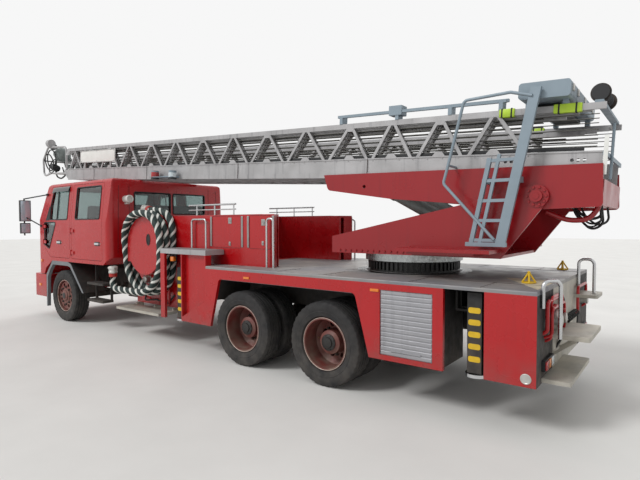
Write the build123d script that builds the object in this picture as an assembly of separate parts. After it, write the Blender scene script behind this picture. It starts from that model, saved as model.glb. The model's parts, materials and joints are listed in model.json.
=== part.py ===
from build123d import *
import math
import os

# Fire engine with an aerial ladder: three axles, crew cab, rear turntable and a
# four-section lattice ladder stowed forward over the cab.
# Millimetres. +X is forward, +Y is the vehicle's left, +Z is up, the ground is Z = 0.
# Stations along X are measured from the first rear axle. The finished solids are
# moved back by ORIGIN_X, which puts the origin under the middle of the vehicle.
ORIGIN_X = 1650.0

# Overall
WIDTH = 2490.0
HALF = WIDTH / 2
WHEELBASE = 4800.0
TANDEM = 1310.0
REAR_OVERHANG = 2220.0
CAB_OVERHANG = 1085.0
CAB_LENGTH = 2735.0
DECK_TOP = 1250.0
BODY_REAR = -TANDEM - REAR_OVERHANG
CAB_NOSE = WHEELBASE + CAB_OVERHANG
CAB_REAR = CAB_NOSE - CAB_LENGTH

# Chassis
RAIL_OUT = 430.0
RAIL_FLANGE = 75.0
RAIL_WALL = 10.0
RAIL_BOTTOM = 720.0
RAIL_HEIGHT = 260.0
RAIL_TOP = RAIL_BOTTOM + RAIL_HEIGHT
FRAME_REAR = BODY_REAR + 80.0
FRAME_FRONT = CAB_NOSE - 435.0
BEAM_WIDTH = 80.0
DECK_THICK = 36.0
DECK_BOTTOM = DECK_TOP - DECK_THICK

# Wheels: 22.5 inch rims, single in front and twin behind
TYRE_R = 478.0
TYRE_WIDTH = 280.0
BEAD_R = 286.0
RIM_WALL = 12.0
RIM_WIDTH = 222.0
FLANGE_R = 298.0
TYRE_SIDE_GAP = 5.0
TWIN_GAP = 45.0
WHEEL_Y = HALF - TYRE_SIDE_GAP - TYRE_WIDTH / 2
INNER_WHEEL_Y = WHEEL_Y - TYRE_WIDTH - TWIN_GAP
SPINDLE_R = 60.0
STUB_R = 45.0
RUN_CLEARANCE = 0.3
KINGPIN_Y = 985.0
KINGPIN_R = 26.0
PIN_CLEARANCE = 0.05
HUB_R = 135.0
DRUM_R = 205.0
HAND_HOLES = 8
HAND_HOLE_R = 32.0
FRONT_HOLE_PITCH_R = 208.0
REAR_HOLE_PITCH_R = 190.0

# Cab: outer skin with one wall thickness
CAB_WALL = 50.0
CAB_FLOOR = 1125.0
CAB_ROOF = 2600.0
CAB_NOSE_BOTTOM = 850.0
CAB_ROOF_FRONT = CAB_NOSE - 465.0
CAB_WAIST = 1850.0
CAB_ROOF_HALF = 1166.0
CAB_REAR_CORNER = 110.0
CAB_NOSE_CORNER = 190.0
ROOF_CORNER = 80.0
ARCH_SILL = CAB_FLOOR - 0.3
DOOR_GAP = 6.0
DOOR_SILL = CAB_FLOOR + 65.0
DOOR_TOP = CAB_ROOF - 60.0
DOOR_CORNER = 45.0
WINDOW_SILL = CAB_WAIST + 60.0
WINDOW_TOP = CAB_ROOF - 120.0
WINDOW_CORNER = 35.0
DOOR_HINGE_X = WHEELBASE + 760.0
DOOR_SPLIT_X = WHEELBASE - 330.0
GLASS_THICK = 6.0
GLASS_GAP = 0.4
GLASS_DEPTH = 18.0
SCREEN_HALF = 1040.0
SCREEN_SILL = CAB_WAIST - 60.0
SCREEN_TOP = CAB_ROOF - 100.0
BACK_LIGHTS = (30.0, 760.0, 2010.0, 2380.0)

# Door hinges and handles
HINGE_Y = HALF + 9.0
HINGE_R = 8.0
SLEEVE_R = 15.0
SLEEVE_LENGTH = 58.0
HINGES = {"front": (DOOR_HINGE_X, (1480.0, 1780.0)), "rear": (DOOR_SPLIT_X - 18, (1300.0, 1700.0))}
HANDLES = {"front": DOOR_SPLIT_X + 510.0, "rear": CAB_REAR + 430.0}

# Seats: centre x, centre y, width
SEAT_BASE = 280.0
SEAT_CUSHION = 120.0
SEATS = ((WHEELBASE - 50, 640, 480), (WHEELBASE - 50, -640, 480), (CAB_REAR + 410, 0, 1900))

# Front bumper and grille
BUMPER_TOP = 840.0
BUMPER_BOTTOM = 400.0
BUMPER_NOSE = CAB_NOSE + 235.0
BUMPER_REAR = CAB_NOSE - 395.0
GRILLE_SLATS = 5

# Engine block and what carries the cab
ENGINE_X = (WHEELBASE - 1050.0, WHEELBASE + 350.0)
ENGINE_HALF = 330.0
ENGINE_Z = (560.0, 1105.0)
ENGINE_MOUNTS = (ENGINE_X[0] + 150.0, ENGINE_X[1] - 150.0)
CAB_MOUNTS = (CAB_REAR + 270.0, WHEELBASE + 320.0)

# Pump compartment behind the cab, the raised locker, and the ledge at its foot
PUMP_FRONT = CAB_REAR - 200.0
PUMP_HALF = 850.0
PUMP_BOTTOM = 500.0
LEDGE_FRONT = PUMP_FRONT - 1230.0
LEDGE_TOP = 1460.0
LEDGE_THICK = 70.0
DECK_FRONT = 670.0
LOCKER_FRONT = LEDGE_FRONT + 400.0
LOCKER_REAR = DECK_FRONT - 1000.0
LOCKER_HALF = 905.0
LOCKER_TOP = 1945.0
LOCKER_WALL = 30.0
WELL_HALF = 700.0
WELL_FRONT = 1050.0
TAIL_SWEEP = 1770.0
COWL_OUT = 1130.0
COWL_FOOT = 1215.0

# Body sides
SKIRT_BOTTOM = 440.0
SKIN = 40.0
ARCH_TOP = 1090.0
ARCH_LEAD = 581.0
ARCH_SLOPE = 177.0
SHUTTER = (BODY_REAR + 920.0, BODY_REAR + 1490.0, 490.0, 1150.0)
SLATS = 14
BAY_WIDTH = 380.0
BAY_X = {"front": LEDGE_FRONT - 320.0, "rear": BODY_REAR + 625.0}

# Suction hose, wound round the cowl
HOSE_R = 55.0
HOSE_TURNS = 3
HOSE_PITCH = 2 * HOSE_R + 2
HOSE_Y = LOCKER_HALF + 5 + HOSE_R
HOSE_LEGS = (LEDGE_FRONT + 64.0, PUMP_FRONT - 140.0)
HOSE_LOW = 740.0
HOSE_HIGH = 1990.0
HOSE_END_X = PUMP_FRONT + 170.0
HOSE_END_Z = 1000.0
HOSE_TOP_X = PUMP_FRONT - 530.0
HOSE_LIFT = 62.0
COUPLING_R = 72.0
COUPLING_LENGTH = 120.0

# Stabilisers: a front and a rear pair, side by side in one box each
BOX_TUBE = 166.0
BOX_WALL = 12.0
BOX_END_Y = 1000.0
BEAM_CLEARANCE = 8.0
BEAM_WALL = 12.0
PAD_REACH = 60.0
PAD_FIT = 0.3
JACK_Y = 1115.0
JACK_OUT = 132.0
JACK_BORE_R = 46.0
JACK_ROD_R = 40.0
JACK_TOP = 1190.0
PAD_BOTTOM = 420.0
PAD_R = 100.0
PAD_THICK = 30.0
BOX_HEIGHT = DECK_BOTTOM - RAIL_TOP
BOX_Z = (DECK_BOTTOM + RAIL_TOP) / 2
BORE_W = BOX_TUBE - 2 * BOX_WALL
BORE_H = BOX_HEIGHT - 2 * BOX_WALL
BEAM_W = BORE_W - 2 * BEAM_CLEARANCE
BEAM_H = BORE_H - 2 * BEAM_CLEARANCE

# Turntable
SLEW_X = -1800.0
RING_R = 560.0
RING_BORE = 430.0
RING_TOP = 1380.0
RING_TEETH = 60
TOOTH_DEPTH = 22.0
TOOTH_HEIGHT = 90.0
COLLAR_R = 592.0
TURRET_BOTTOM = 1470.0
TURRET_SIDE = 680.0
TURRET_PLATE = 28.0
TURRET_TIP = SLEW_X + 760.0
PIVOT_X = SLEW_X - 1585.0
PIVOT_Z = 2070.0
PIVOT_R = 55.0
BOSS_R = 105.0
STEP_TOP = 1565.0
RIB = 16.0

# Boom, in its own frame: u runs forward from the pivot, w is square to it
REST_ANGLE = 3.15
FRAME_OUT = 645.0
FRAME_PLATE = 25.0
FRAME_BOTTOM = ((2440, 28, 60), (1565, -58, 900), (584, -99, 900), (-21, -122), (-538, -79, 40))
FRAME_TOP = ((-511, 297), (2511, 215))
SECTION_COUNT = 4
BASE_HALF = 620.0
SECTION_STEP = 35.0
SECTION_WALL = 22.0
BASE_FRONT = 9274.0
BASE_REAR = -500.0
SECTION_LEAD = 110.0
CHORD_BOTTOM = 180.0
CHORD_RISE = 36.0
CHORD_TOP = 410.0
CHORD_FLANGE = 60.0
CHORD_RECESS = 8.0
CHORD_HOLES = (-360.0, -310.0, -260.0, 160.0, 215.0, 270.0, 325.0)
RAIL_LOW = 770.0
RAIL_HIGH = 830.0
RAIL_DROP = 24.0
REAR_NODE = 449.0
REAR_PITCH = 572.0
REAR_BAYS = 3
FRONT_PITCH = 685.0
FRONT_BAYS = 10
DIAGONAL = 34.0
RUNG_PITCH = 350.0
RUNG_SIZE = 24.0
FLY_FRONT = BASE_FRONT + (SECTION_COUNT - 1) * SECTION_LEAD
FLY_HALF = BASE_HALF - (SECTION_COUNT - 1) * SECTION_STEP
FLY_LOW = CHORD_BOTTOM + (SECTION_COUNT - 1) * CHORD_RISE
FLY_TOP = RAIL_HIGH - (SECTION_COUNT - 1) * RAIL_DROP

# Lift cylinders
ROD_EYE = (-1600.0, 2245.0)
BARREL_EYE = (-2750.0, 1635.0)
CYL_Y = 330.0
BARREL_R = 80.0
LIFT_ROD_R = 48.0
EYE_R = 78.0
EYE_WIDTH = 100.0
EYE_PLATE = 24.0
EYE_GAP = 8.0
LIFT_PIN_R = 35.0
BARREL_END = 1210.0
GLAND_LENGTH = 52.0

# Steps and the ladder beside the boom
CREW_STEP_HEIGHTS = (460.0, 760.0)
STILE_TOP = 3050.0
STILE_Y = 800.0
STILE_LEAN = 0.2138


# Shapes
def block(x0, x1, y0, y1, z0, z1):
    centre = Pos((x0 + x1) / 2, (y0 + y1) / 2, (z0 + z1) / 2)
    return centre * Box(abs(x1 - x0), abs(y1 - y0), abs(z1 - z0))


def round_corner(before, at, after, radius):
    # Where a corner's arc starts, its middle, and where it ends.
    into, out = (before - at).normalized(), (after - at).normalized()
    half = math.radians(into.get_angle(out)) / 2
    reach = radius / math.tan(half)
    middle = at + (into + out).normalized() * (radius / math.sin(half) - radius)
    return at + into * reach, middle, at + out * reach


def outline_face(outline, inset=0):
    # A flat outline of (a, b) points, or (a, b, corner radius), moved inward by inset.
    points = [Vector(p[0], p[1]) for p in outline]
    edges, starts, ends = [], [], []
    for n, point in enumerate(points):
        start = end = point
        if len(outline[n]) > 2:
            after = points[(n + 1) % len(points)]
            start, middle, end = round_corner(points[n - 1], point, after, outline[n][2])
            edges.append(ThreePointArc(start, middle, end))
        starts.append(start)
        ends.append(end)
    for n, end in enumerate(ends):
        start = starts[(n + 1) % len(starts)]
        if (start - end).length > 0.01:
            edges.append(Line(end, start))
    face = make_face(edges)
    return offset(face, amount=-inset, kind=Kind.INTERSECTION) if inset else face


def side_plate(outline, y0, y1, inset=0):
    return extrude(Plane.XZ.offset(-y0) * outline_face(outline, inset), amount=-(y1 - y0))


def plan_plate(outline, z0, z1):
    return extrude(Pos(0, 0, z0) * outline_face(outline), amount=z1 - z0)


def front_plate(outline, x0, x1):
    return extrude(Plane.YZ.offset(x0) * outline_face(outline), amount=x1 - x0)


def rod(start, end, radius):
    start, end = Vector(*start), Vector(*end)
    return extrude(Plane(origin=start, z_dir=end - start) * Circle(radius), amount=(end - start).length)


def strut(start, end, width, depth):
    # A rectangular bar in an XZ plane, depth measured along Y.
    start, end = Vector(*start), Vector(*end)
    plane = Plane(origin=start, x_dir=(0, 1, 0), z_dir=end - start)
    return extrude(plane * Rectangle(depth, width), amount=(end - start).length)


def rail(points, radius, bend):
    path = FilletPolyline(*points, radius=bend)
    start = Plane(origin=points[0], z_dir=Vector(*points[1]) - Vector(*points[0]))
    return sweep(start * Circle(radius), path=path)


def ring_z(x, z0, z1, inner, outer):
    at = Pos(x, 0, (z0 + z1) / 2)
    return at * (Cylinder(outer, z1 - z0) - Cylinder(inner, z1 - z0 + 2))


def spin(outline, x, y):
    # Turns a (y, r) outline about a wheel's axle line.
    face = make_face(Polyline(*[(r, s) for s, r in outline], close=True))
    return Pos(x, y, TYRE_R) * revolve(face, axis=Axis.Y)


def flip(shape):
    return mirror(shape, about=Plane.XZ)


def both(shape):
    return [shape, flip(shape)]


def fuse(shapes):
    shapes = list(shapes)
    return shapes[0].fuse(*shapes[1:]) if len(shapes) > 1 else shapes[0]


def save(node, *shapes):
    solids = []
    for shape in shapes:
        for item in (shape if isinstance(shape, (list, tuple)) else [shape]):
            solids.extend((Pos(-ORIGIN_X, 0, 0) * item).solids())
    export_step(solids[0] if len(solids) == 1 else Compound(solids), f"parts/{node}.step")


# Chassis frame, subframe and stabiliser boxes
def bay_tubes(centre):
    tubes = []
    for side in (-1, 1):
        x = centre + side * BOX_TUBE / 2
        outer = Pos(x, 0, BOX_Z) * Box(BOX_TUBE, 2 * BOX_END_Y, BOX_HEIGHT)
        tube = outer - Pos(x, 0, BOX_Z) * Box(BORE_W, 2 * BOX_END_Y + 2, BORE_H)
        for end in (-1, 1):
            y = end * (BOX_END_Y - PAD_REACH / 2)
            collar = Pos(x, y, BOX_Z) * Box(BOX_TUBE - BOX_WALL, PAD_REACH, BOX_HEIGHT - BOX_WALL)
            bore = Box(BEAM_W + 2 * PAD_FIT, PAD_REACH + 2, BEAM_H + 2 * PAD_FIT)
            tube += collar - Pos(x, y, BOX_Z) * bore
        tubes.append(tube)
    return fuse(tubes)


def chassis_frame():
    web = RAIL_OUT - RAIL_WALL
    inner = RAIL_OUT - RAIL_FLANGE
    channel = block(FRAME_REAR, FRAME_FRONT, inner, RAIL_OUT, RAIL_BOTTOM, RAIL_TOP)
    channel -= block(FRAME_REAR - 1, FRAME_FRONT + 1, inner - 1, web,
                     RAIL_BOTTOM + RAIL_WALL, RAIL_TOP - RAIL_WALL)
    sub = block(FRAME_REAR, LEDGE_FRONT, RAIL_OUT - BEAM_WIDTH, RAIL_OUT, RAIL_TOP, DECK_BOTTOM)
    for x in BAY_X.values():
        sub -= block(x - BOX_TUBE, x + BOX_TUBE, 0, HALF, RAIL_TOP, DECK_BOTTOM)
    parts = both(channel) + both(sub)
    crossmembers = (FRAME_REAR + 50, BODY_REAR + 1230, -TANDEM / 2, DECK_FRONT + 30, LEDGE_FRONT + 280,
                    CAB_REAR + 150, FRAME_FRONT - 100)
    for x in crossmembers:
        parts.append(block(x - 40, x + 40, -web, web, RAIL_BOTTOM + 60, RAIL_TOP - 60))
    for x in (-TANDEM / 2, DECK_FRONT - 270):
        parts.append(block(x - 40, x + 40, -RAIL_OUT + 1, RAIL_OUT - 1, RAIL_TOP + 40, DECK_BOTTOM))
    parts.append(Pos(SLEW_X, 0, (RAIL_TOP + DECK_BOTTOM) / 2) * Cylinder(480, DECK_BOTTOM - RAIL_TOP))
    for x in BAY_X.values():
        parts.append(bay_tubes(x))
    for x in (WHEELBASE - 650, FRAME_FRONT - 50):
        parts += both(block(x - 30, x + 30, inner, RAIL_OUT, TYRE_R + 172, RAIL_BOTTOM))
    for x in CAB_MOUNTS:
        parts += both(block(x - 50, x + 50, inner, RAIL_OUT, RAIL_TOP, CAB_FLOOR))
    for x in ENGINE_MOUNTS:
        parts += both(block(x - 40, x + 40, ENGINE_HALF, RAIL_OUT, RAIL_TOP, RAIL_TOP + 20))
    return fuse(parts)


def front_axle():
    # Beam between the springs, with kingpin bosses at its ends.
    z = TYRE_R
    parts = [block(WHEELBASE - 45, WHEELBASE + 45, -KINGPIN_Y + 105, KINGPIN_Y - 105, z - 90, z)]
    for side in (-1, 1):
        parts.append(Pos(WHEELBASE, side * KINGPIN_Y, z) * Cylinder(50, 90))
        parts.append(block(WHEELBASE - 40, WHEELBASE + 40,
                           side * (KINGPIN_Y - 110), side * (KINGPIN_Y - 10), z - 45, z + 45))
    beam = fuse(parts)
    for side in (-1, 1):
        beam -= Pos(WHEELBASE, side * KINGPIN_Y, z) * Cylinder(KINGPIN_R + PIN_CLEARANCE, 300)
    return fuse([beam] + both(leaf_spring(WHEELBASE, z + 172, z + 90)))


def leaf_spring(x, eye_z, seat_z):
    # Semi-elliptic pack over the front beam, from eye to eye, with its two eyes.
    half = FRAME_FRONT - 50 - x
    top = ThreePointArc((x - half, eye_z), (x, seat_z - 30), (x + half, eye_z))
    low = ThreePointArc((x - half, eye_z - 22), (x, seat_z - 90), (x + half, eye_z - 22))
    outline = make_face([top, Line((x + half, eye_z), (x + half, eye_z - 22)), low,
                         Line((x - half, eye_z - 22), (x - half, eye_z))])
    return extrude(Plane.XZ.offset(RAIL_FLANGE - RAIL_OUT) * outline, amount=-RAIL_FLANGE)


def rear_axles():
    # Two housings, and a spring pack on a trunnion at each side.
    z = TYRE_R
    parts = []
    for x in (0.0, -TANDEM):
        parts.append(rod((x, -600, z), (x, 600, z), 75))
        parts.append(rod((x, 60 - WHEEL_Y, z), (x, WHEEL_Y - 60, z), SPINDLE_R))
        parts.append(Pos(x, 0, z) * Sphere(200))
        parts += both(rod((x, 600, z), (x, 628, z), DRUM_R - 5))
    middle = -TANDEM / 2
    pack = side_plate(((60, z + 60), (60, z + 125), (middle + 110, z + 170), (middle + 110, RAIL_BOTTOM),
                       (middle - 110, RAIL_BOTTOM), (middle - 110, z + 170), (-TANDEM - 60, z + 125),
                       (-TANDEM - 60, z + 60), (middle, z + 60)), RAIL_OUT - RAIL_FLANGE, RAIL_OUT)
    parts += both(pack)
    parts.append(rod((-TANDEM, 0, z + 40), (0, 0, z + 60), 50))
    parts.append(rod((0, 0, z + 60), (ENGINE_X[0] - 12, 0, ENGINE_Z[0] + 80), 50))
    return fuse(parts)


# Wheels, built for the left side
def tyre(x, y):
    half = TYRE_WIDTH / 2
    bead = RIM_WIDTH / 2 - 12.5
    return spin(((-bead, BEAD_R + 0.2), (-bead, FLANGE_R + 2), (-half, BEAD_R + 80),
                 (-half + 8, TYRE_R - 28), (-half + 34, TYRE_R), (half - 34, TYRE_R), (half - 8, TYRE_R - 28),
                 (half, BEAD_R + 80), (bead, FLANGE_R + 2), (bead, BEAD_R + 0.2)), x, y)


def rim_barrel(x, y):
    half = RIM_WIDTH / 2
    return spin(((-half, FLANGE_R), (-half, BEAD_R - RIM_WALL), (half, BEAD_R - RIM_WALL),
                 (half, FLANGE_R), (half - 12, FLANGE_R), (half - 12, BEAD_R), (-half + 12, BEAD_R),
                 (-half + 12, FLANGE_R)), x, y)


def hand_holes(disc, x, pitch_r):
    for n in range(HAND_HOLES):
        turn = math.tau * (n + 0.5) / HAND_HOLES
        hole_x, hole_z = x + pitch_r * math.cos(turn), TYRE_R + pitch_r * math.sin(turn)
        disc -= rod((hole_x, 0, hole_z), (hole_x, HALF, hole_z), HAND_HOLE_R)
    return disc


def front_rim():
    x, y = WHEELBASE, WHEEL_Y
    edge = BEAD_R - RIM_WALL + 1
    disc = spin(((8, edge), (22, edge), (82, 258), (82, HUB_R - 20), (68, HUB_R - 20), (68, 258)), x, y)
    hub = spin(((-25, HUB_R), (92, HUB_R), (100, 100), (118, 92), (128, 60), (128, 0), (96, 0),
                (96, STUB_R + RUN_CLEARANCE), (-25, STUB_R + RUN_CLEARANCE)), x, y)
    return fuse([rim_barrel(x, y), hand_holes(disc, x, FRONT_HOLE_PITCH_R), hub])


def rear_rims(x):
    middle = (WHEEL_Y + INNER_WHEEL_Y) / 2
    edge = BEAD_R - RIM_WALL + 1
    dishes = [spin(((0, HUB_R - 10), (0, 225), (side * 44, edge), (side * 60, edge), (side * 13, 220),
                    (side * 13, HUB_R - 10)), x, middle) for side in (1, -1)]
    discs = hand_holes(fuse(dishes), x, REAR_HOLE_PITCH_R)
    reach = WHEEL_Y + 22 - middle
    bore = SPINDLE_R + RUN_CLEARANCE
    drum = 640 - middle
    hub = spin(((drum, DRUM_R), (-40, DRUM_R), (-40, HUB_R + 10), (reach - 20, HUB_R), (reach, 95),
                (reach, 0), (reach - 30, 0), (reach - 30, bore), (drum, bore)), x, middle)
    return fuse([rim_barrel(x, WHEEL_Y), rim_barrel(x, INNER_WHEEL_Y), discs, hub])


def knuckle():
    x, y, z = WHEELBASE, KINGPIN_Y, TYRE_R
    parts = [Pos(x, y, z + side * 77.5) * Cylinder(48, 55) for side in (-1, 1)]
    parts += [block(x - 45, x + 45, y, y + 75, z + side * 50, z + side * 105) for side in (-1, 1)]
    parts.append(block(x - 60, x + 60, y + 55, y + 85, z - 105, z + 105))
    parts.append(Pos(x, y, z) * Cylinder(KINGPIN_R, 230))
    parts.append(rod((x, y + 70, z), (x, WHEEL_Y + 90, z), STUB_R))
    parts.append(block(x - 200, x, y - 30, y + 10, z - 105, z - 75))
    return fuse(parts)


# Cab
def cab_profile():
    side = ((CAB_REAR, CAB_FLOOR + 130, 20), (CAB_REAR + 180, CAB_FLOOR, 40),
            (WHEELBASE + 420, CAB_FLOOR), (WHEELBASE + 690, CAB_FLOOR - 150, 60),
            (WHEELBASE + 760, CAB_NOSE_BOTTOM), (CAB_NOSE, CAB_NOSE_BOTTOM),
            (CAB_NOSE, CAB_WAIST - 550, 300), (CAB_NOSE - 70, CAB_WAIST - 100, 150),
            (CAB_ROOF_FRONT + 22, CAB_ROOF, 90), (CAB_REAR, CAB_ROOF, 60))
    return side_plate(side, -HALF, HALF)


def cab_sides(inset):
    # What lies inside the leaning side walls and the rounded corners.
    low, roof = HALF - inset, CAB_ROOF_HALF - inset
    top = CAB_ROOF + 0.5
    lean = front_plate(((-low, 0), (low, 0), (low, CAB_WAIST, 200), (roof, top, ROOF_CORNER),
                        (-roof, top, ROOF_CORNER), (-low, CAB_WAIST, 200)), CAB_REAR - 100, CAB_NOSE + 100)
    rear, nose = CAB_REAR + inset - 0.5, CAB_NOSE - inset + 0.5
    plan = ((rear, -low, CAB_REAR_CORNER), (nose, -low, CAB_NOSE_CORNER),
            (nose, low, CAB_NOSE_CORNER), (rear, low, CAB_REAR_CORNER))
    return lean & plan_plate(plan, 0, CAB_ROOF + 100)


def cab_space():
    w = CAB_WALL
    return side_plate(((CAB_REAR + w, CAB_FLOOR + w + 120), (CAB_REAR + 180, CAB_FLOOR + w),
                       (CAB_NOSE - w, CAB_FLOOR + w), (CAB_NOSE - w, CAB_WAIST - 550),
                       (CAB_NOSE - w - 70, CAB_WAIST - 115), (CAB_ROOF_FRONT + 5, CAB_ROOF - w),
                       (CAB_REAR + w, CAB_ROOF - w)), -HALF, HALF)


def door_outlines():
    # Outline and windows of each door, in the side view.
    c, r = DOOR_CORNER, WINDOW_CORNER
    front = ((DOOR_SPLIT_X + 30, DOOR_SILL, c), (WHEELBASE + 490, DOOR_SILL, 120),
             (DOOR_HINGE_X, DOOR_SILL + 210, 60), (DOOR_HINGE_X, CAB_WAIST + 30, 60),
             (CAB_ROOF_FRONT - 120, DOOR_TOP, c), (DOOR_SPLIT_X + 30, DOOR_TOP, c))
    rear = ((CAB_REAR + 210, DOOR_SILL, c), (DOOR_SPLIT_X - 30, DOOR_SILL, c),
            (DOOR_SPLIT_X - 30, DOOR_TOP, c), (CAB_REAR + 210, DOOR_TOP, c))
    window = ((DOOR_SPLIT_X + 130, WINDOW_SILL, r), (WHEELBASE + 500, WINDOW_SILL, r),
              (WHEELBASE + 500, WINDOW_TOP - 300, r), (WHEELBASE + 415, WINDOW_TOP, r),
              (DOOR_SPLIT_X + 130, WINDOW_TOP, r))
    corner = ((WHEELBASE + 530, DOOR_SILL + 160, 20), (WHEELBASE + 720, DOOR_SILL + 230, 20),
              (WHEELBASE + 720, CAB_WAIST + 10, 20), (WHEELBASE + 240, CAB_WAIST + 10, 20))
    rear_window = ((CAB_REAR + 300, WINDOW_SILL, r), (DOOR_SPLIT_X - 170, WINDOW_SILL, r),
                   (DOOR_SPLIT_X - 170, WINDOW_TOP, r), (CAB_REAR + 300, WINDOW_TOP, r))
    return {"front": (front, (window, corner)), "rear": (rear, (rear_window,))}


def cab():
    shell = (cab_profile() & cab_sides(0)) - (cab_space() & cab_sides(CAB_WALL))
    glazing = cab_sides(GLASS_DEPTH) - cab_sides(GLASS_DEPTH + GLASS_THICK)
    inner_y, outer_y = CAB_ROOF_HALF - 160, HALF + 10
    doors, openings = {}, []
    for name, (outline, windows) in door_outlines().items():
        openings.append(side_plate(outline, inner_y, outer_y))
        leaf = shell & side_plate(outline, inner_y, outer_y, DOOR_GAP)
        panes = []
        for window in windows:
            leaf -= side_plate(window, inner_y, outer_y)
            panes.append(glazing & side_plate(window, inner_y, outer_y, GLASS_GAP))
        x, z = HANDLES[name], DOOR_SILL + 275
        leaf += side_plate(((x - 125, z, 14), (x + 5, z, 14), (x + 5, z + 34, 14), (x - 125, z + 34, 14)),
                           HALF - 3, HALF + 16)
        doors[name] = [leaf] + panes
    for opening in openings:
        shell -= opening
        shell -= flip(opening)
    for name, (x, heights) in HINGES.items():
        for z in heights:
            recess = Pos(x, HINGE_Y, z) * Cylinder(SLEEVE_R + 5, SLEEVE_LENGTH + 3)
            shell = shell - recess - flip(recess)
            fixed, moving = hinge_parts(x, z)
            for lug in fixed:
                shell += lug
                shell += flip(lug)
            doors[name][0] += moving
    shell -= block(CAB_ROOF_FRONT - 200, CAB_NOSE + 10, -SCREEN_HALF, SCREEN_HALF, SCREEN_SILL, SCREEN_TOP)
    panes = [screen_pane()]
    g = GLASS_GAP
    near, far, low, high = BACK_LIGHTS
    for side in (-1, 1):
        shell -= block(CAB_REAR - 10, CAB_REAR + CAB_WALL + 10, side * near, side * far, low, high)
        panes.append(block(CAB_REAR + GLASS_DEPTH, CAB_REAR + GLASS_DEPTH + GLASS_THICK,
                           side * (near + g), side * (far - g), low + g, high - g))
    return shell, doors, panes


def screen_pane():
    # The windscreen, set GLASS_DEPTH behind the leaning front.
    g = GLASS_GAP
    foot_x, foot_z = CAB_NOSE - 70, CAB_WAIST - 100
    lean = (foot_x - CAB_ROOF_FRONT - 22) / (CAB_ROOF - foot_z)
    low = foot_x - lean * (SCREEN_SILL + g - foot_z) - GLASS_DEPTH
    high = foot_x - lean * (SCREEN_TOP - g - foot_z) - GLASS_DEPTH
    return side_plate(((low - GLASS_THICK, SCREEN_SILL + g), (low, SCREEN_SILL + g), (high, SCREEN_TOP - g),
                       (high - GLASS_THICK, SCREEN_TOP - g)), g - SCREEN_HALF, SCREEN_HALF - g)


def hinge_parts(x, z):
    # Lugs and pin on the body ahead of a door, and the sleeve and strap on the door.
    y = HINGE_Y
    half = SLEEVE_LENGTH / 2
    fixed = [Pos(x, y, z) * Cylinder(HINGE_R, 100)]
    for side in (-1, 1):
        low, high = sorted((z + side * (half + 1), z + side * 50))
        fixed.append(block(x, x + 44, HALF - 2, y + 8, low, high))
        fixed.append(Pos(x, y, (low + high) / 2) * Cylinder(HINGE_R + 0.8, high - low))
    strap = block(x - 110, x - 20, HALF - 2, y + 5, z - half, z + half)
    bridge = block(x - 21, x, HALF + 1, y + 5, z - half, z + half)
    sleeve = fuse([Pos(x, y, z) * Cylinder(SLEEVE_R, SLEEVE_LENGTH), strap, bridge])
    return fixed, sleeve - Pos(x, y, z) * Cylinder(HINGE_R + PIN_CLEARANCE, 80)


def cab_seats():
    parts = []
    low = CAB_FLOOR + CAB_WALL + SEAT_BASE
    high = low + SEAT_CUSHION
    for x, y, width in SEATS:
        cushion = block(x - 230, x + 260, y - width / 2, y + width / 2, low, high)
        back = side_plate(((x - 230, high), (x - 110, high), (x - 180, high + 600), (x - 270, high + 600)),
                          y - width / 2, y + width / 2)
        parts.append(fuse([cushion, back]))
    return parts


def cab_interior():
    floor = CAB_FLOOR + CAB_WALL
    parts = []
    for x, y, width in SEATS:
        half = width / 2 - 40
        parts.append(block(x - 200, x + 240, y - half, y + half, floor, floor + SEAT_BASE))
    nose, waist = CAB_NOSE, CAB_WAIST
    dash = side_plate(((nose - 385, waist - 500, 30), (nose - 59, waist - 500), (nose - 115, waist - 150),
                       (nose - 285, waist - 90, 40), (nose - 405, waist - 200, 60)), -1000, 1000)
    column = strut((nose - 385, -640, waist - 310), (nose - 615, -640, waist - 68), 60, 60)
    rim_plane = Plane(origin=(nose - 605, -640, waist - 80), z_dir=(-1, 0, 0.9))
    wheel = extrude(rim_plane * (Circle(225) - Circle(195)), amount=26)
    spoke = extrude(rim_plane * Rectangle(60, 400), amount=20)
    parts.append(fuse([dash, column, wheel, spoke]))
    parts.append(block(WHEELBASE + 150, nose - 285, -280, 280, floor, waist - 500))
    return parts


# Deck and body
def deck():
    # Flat plate whose long edges are folded down into a rounded rim.
    r = 12
    section = ((-HALF, DECK_BOTTOM), (HALF, DECK_BOTTOM), (HALF, DECK_TOP, r), (-HALF, DECK_TOP, r))
    return front_plate(section, BODY_REAR, DECK_FRONT)


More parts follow.
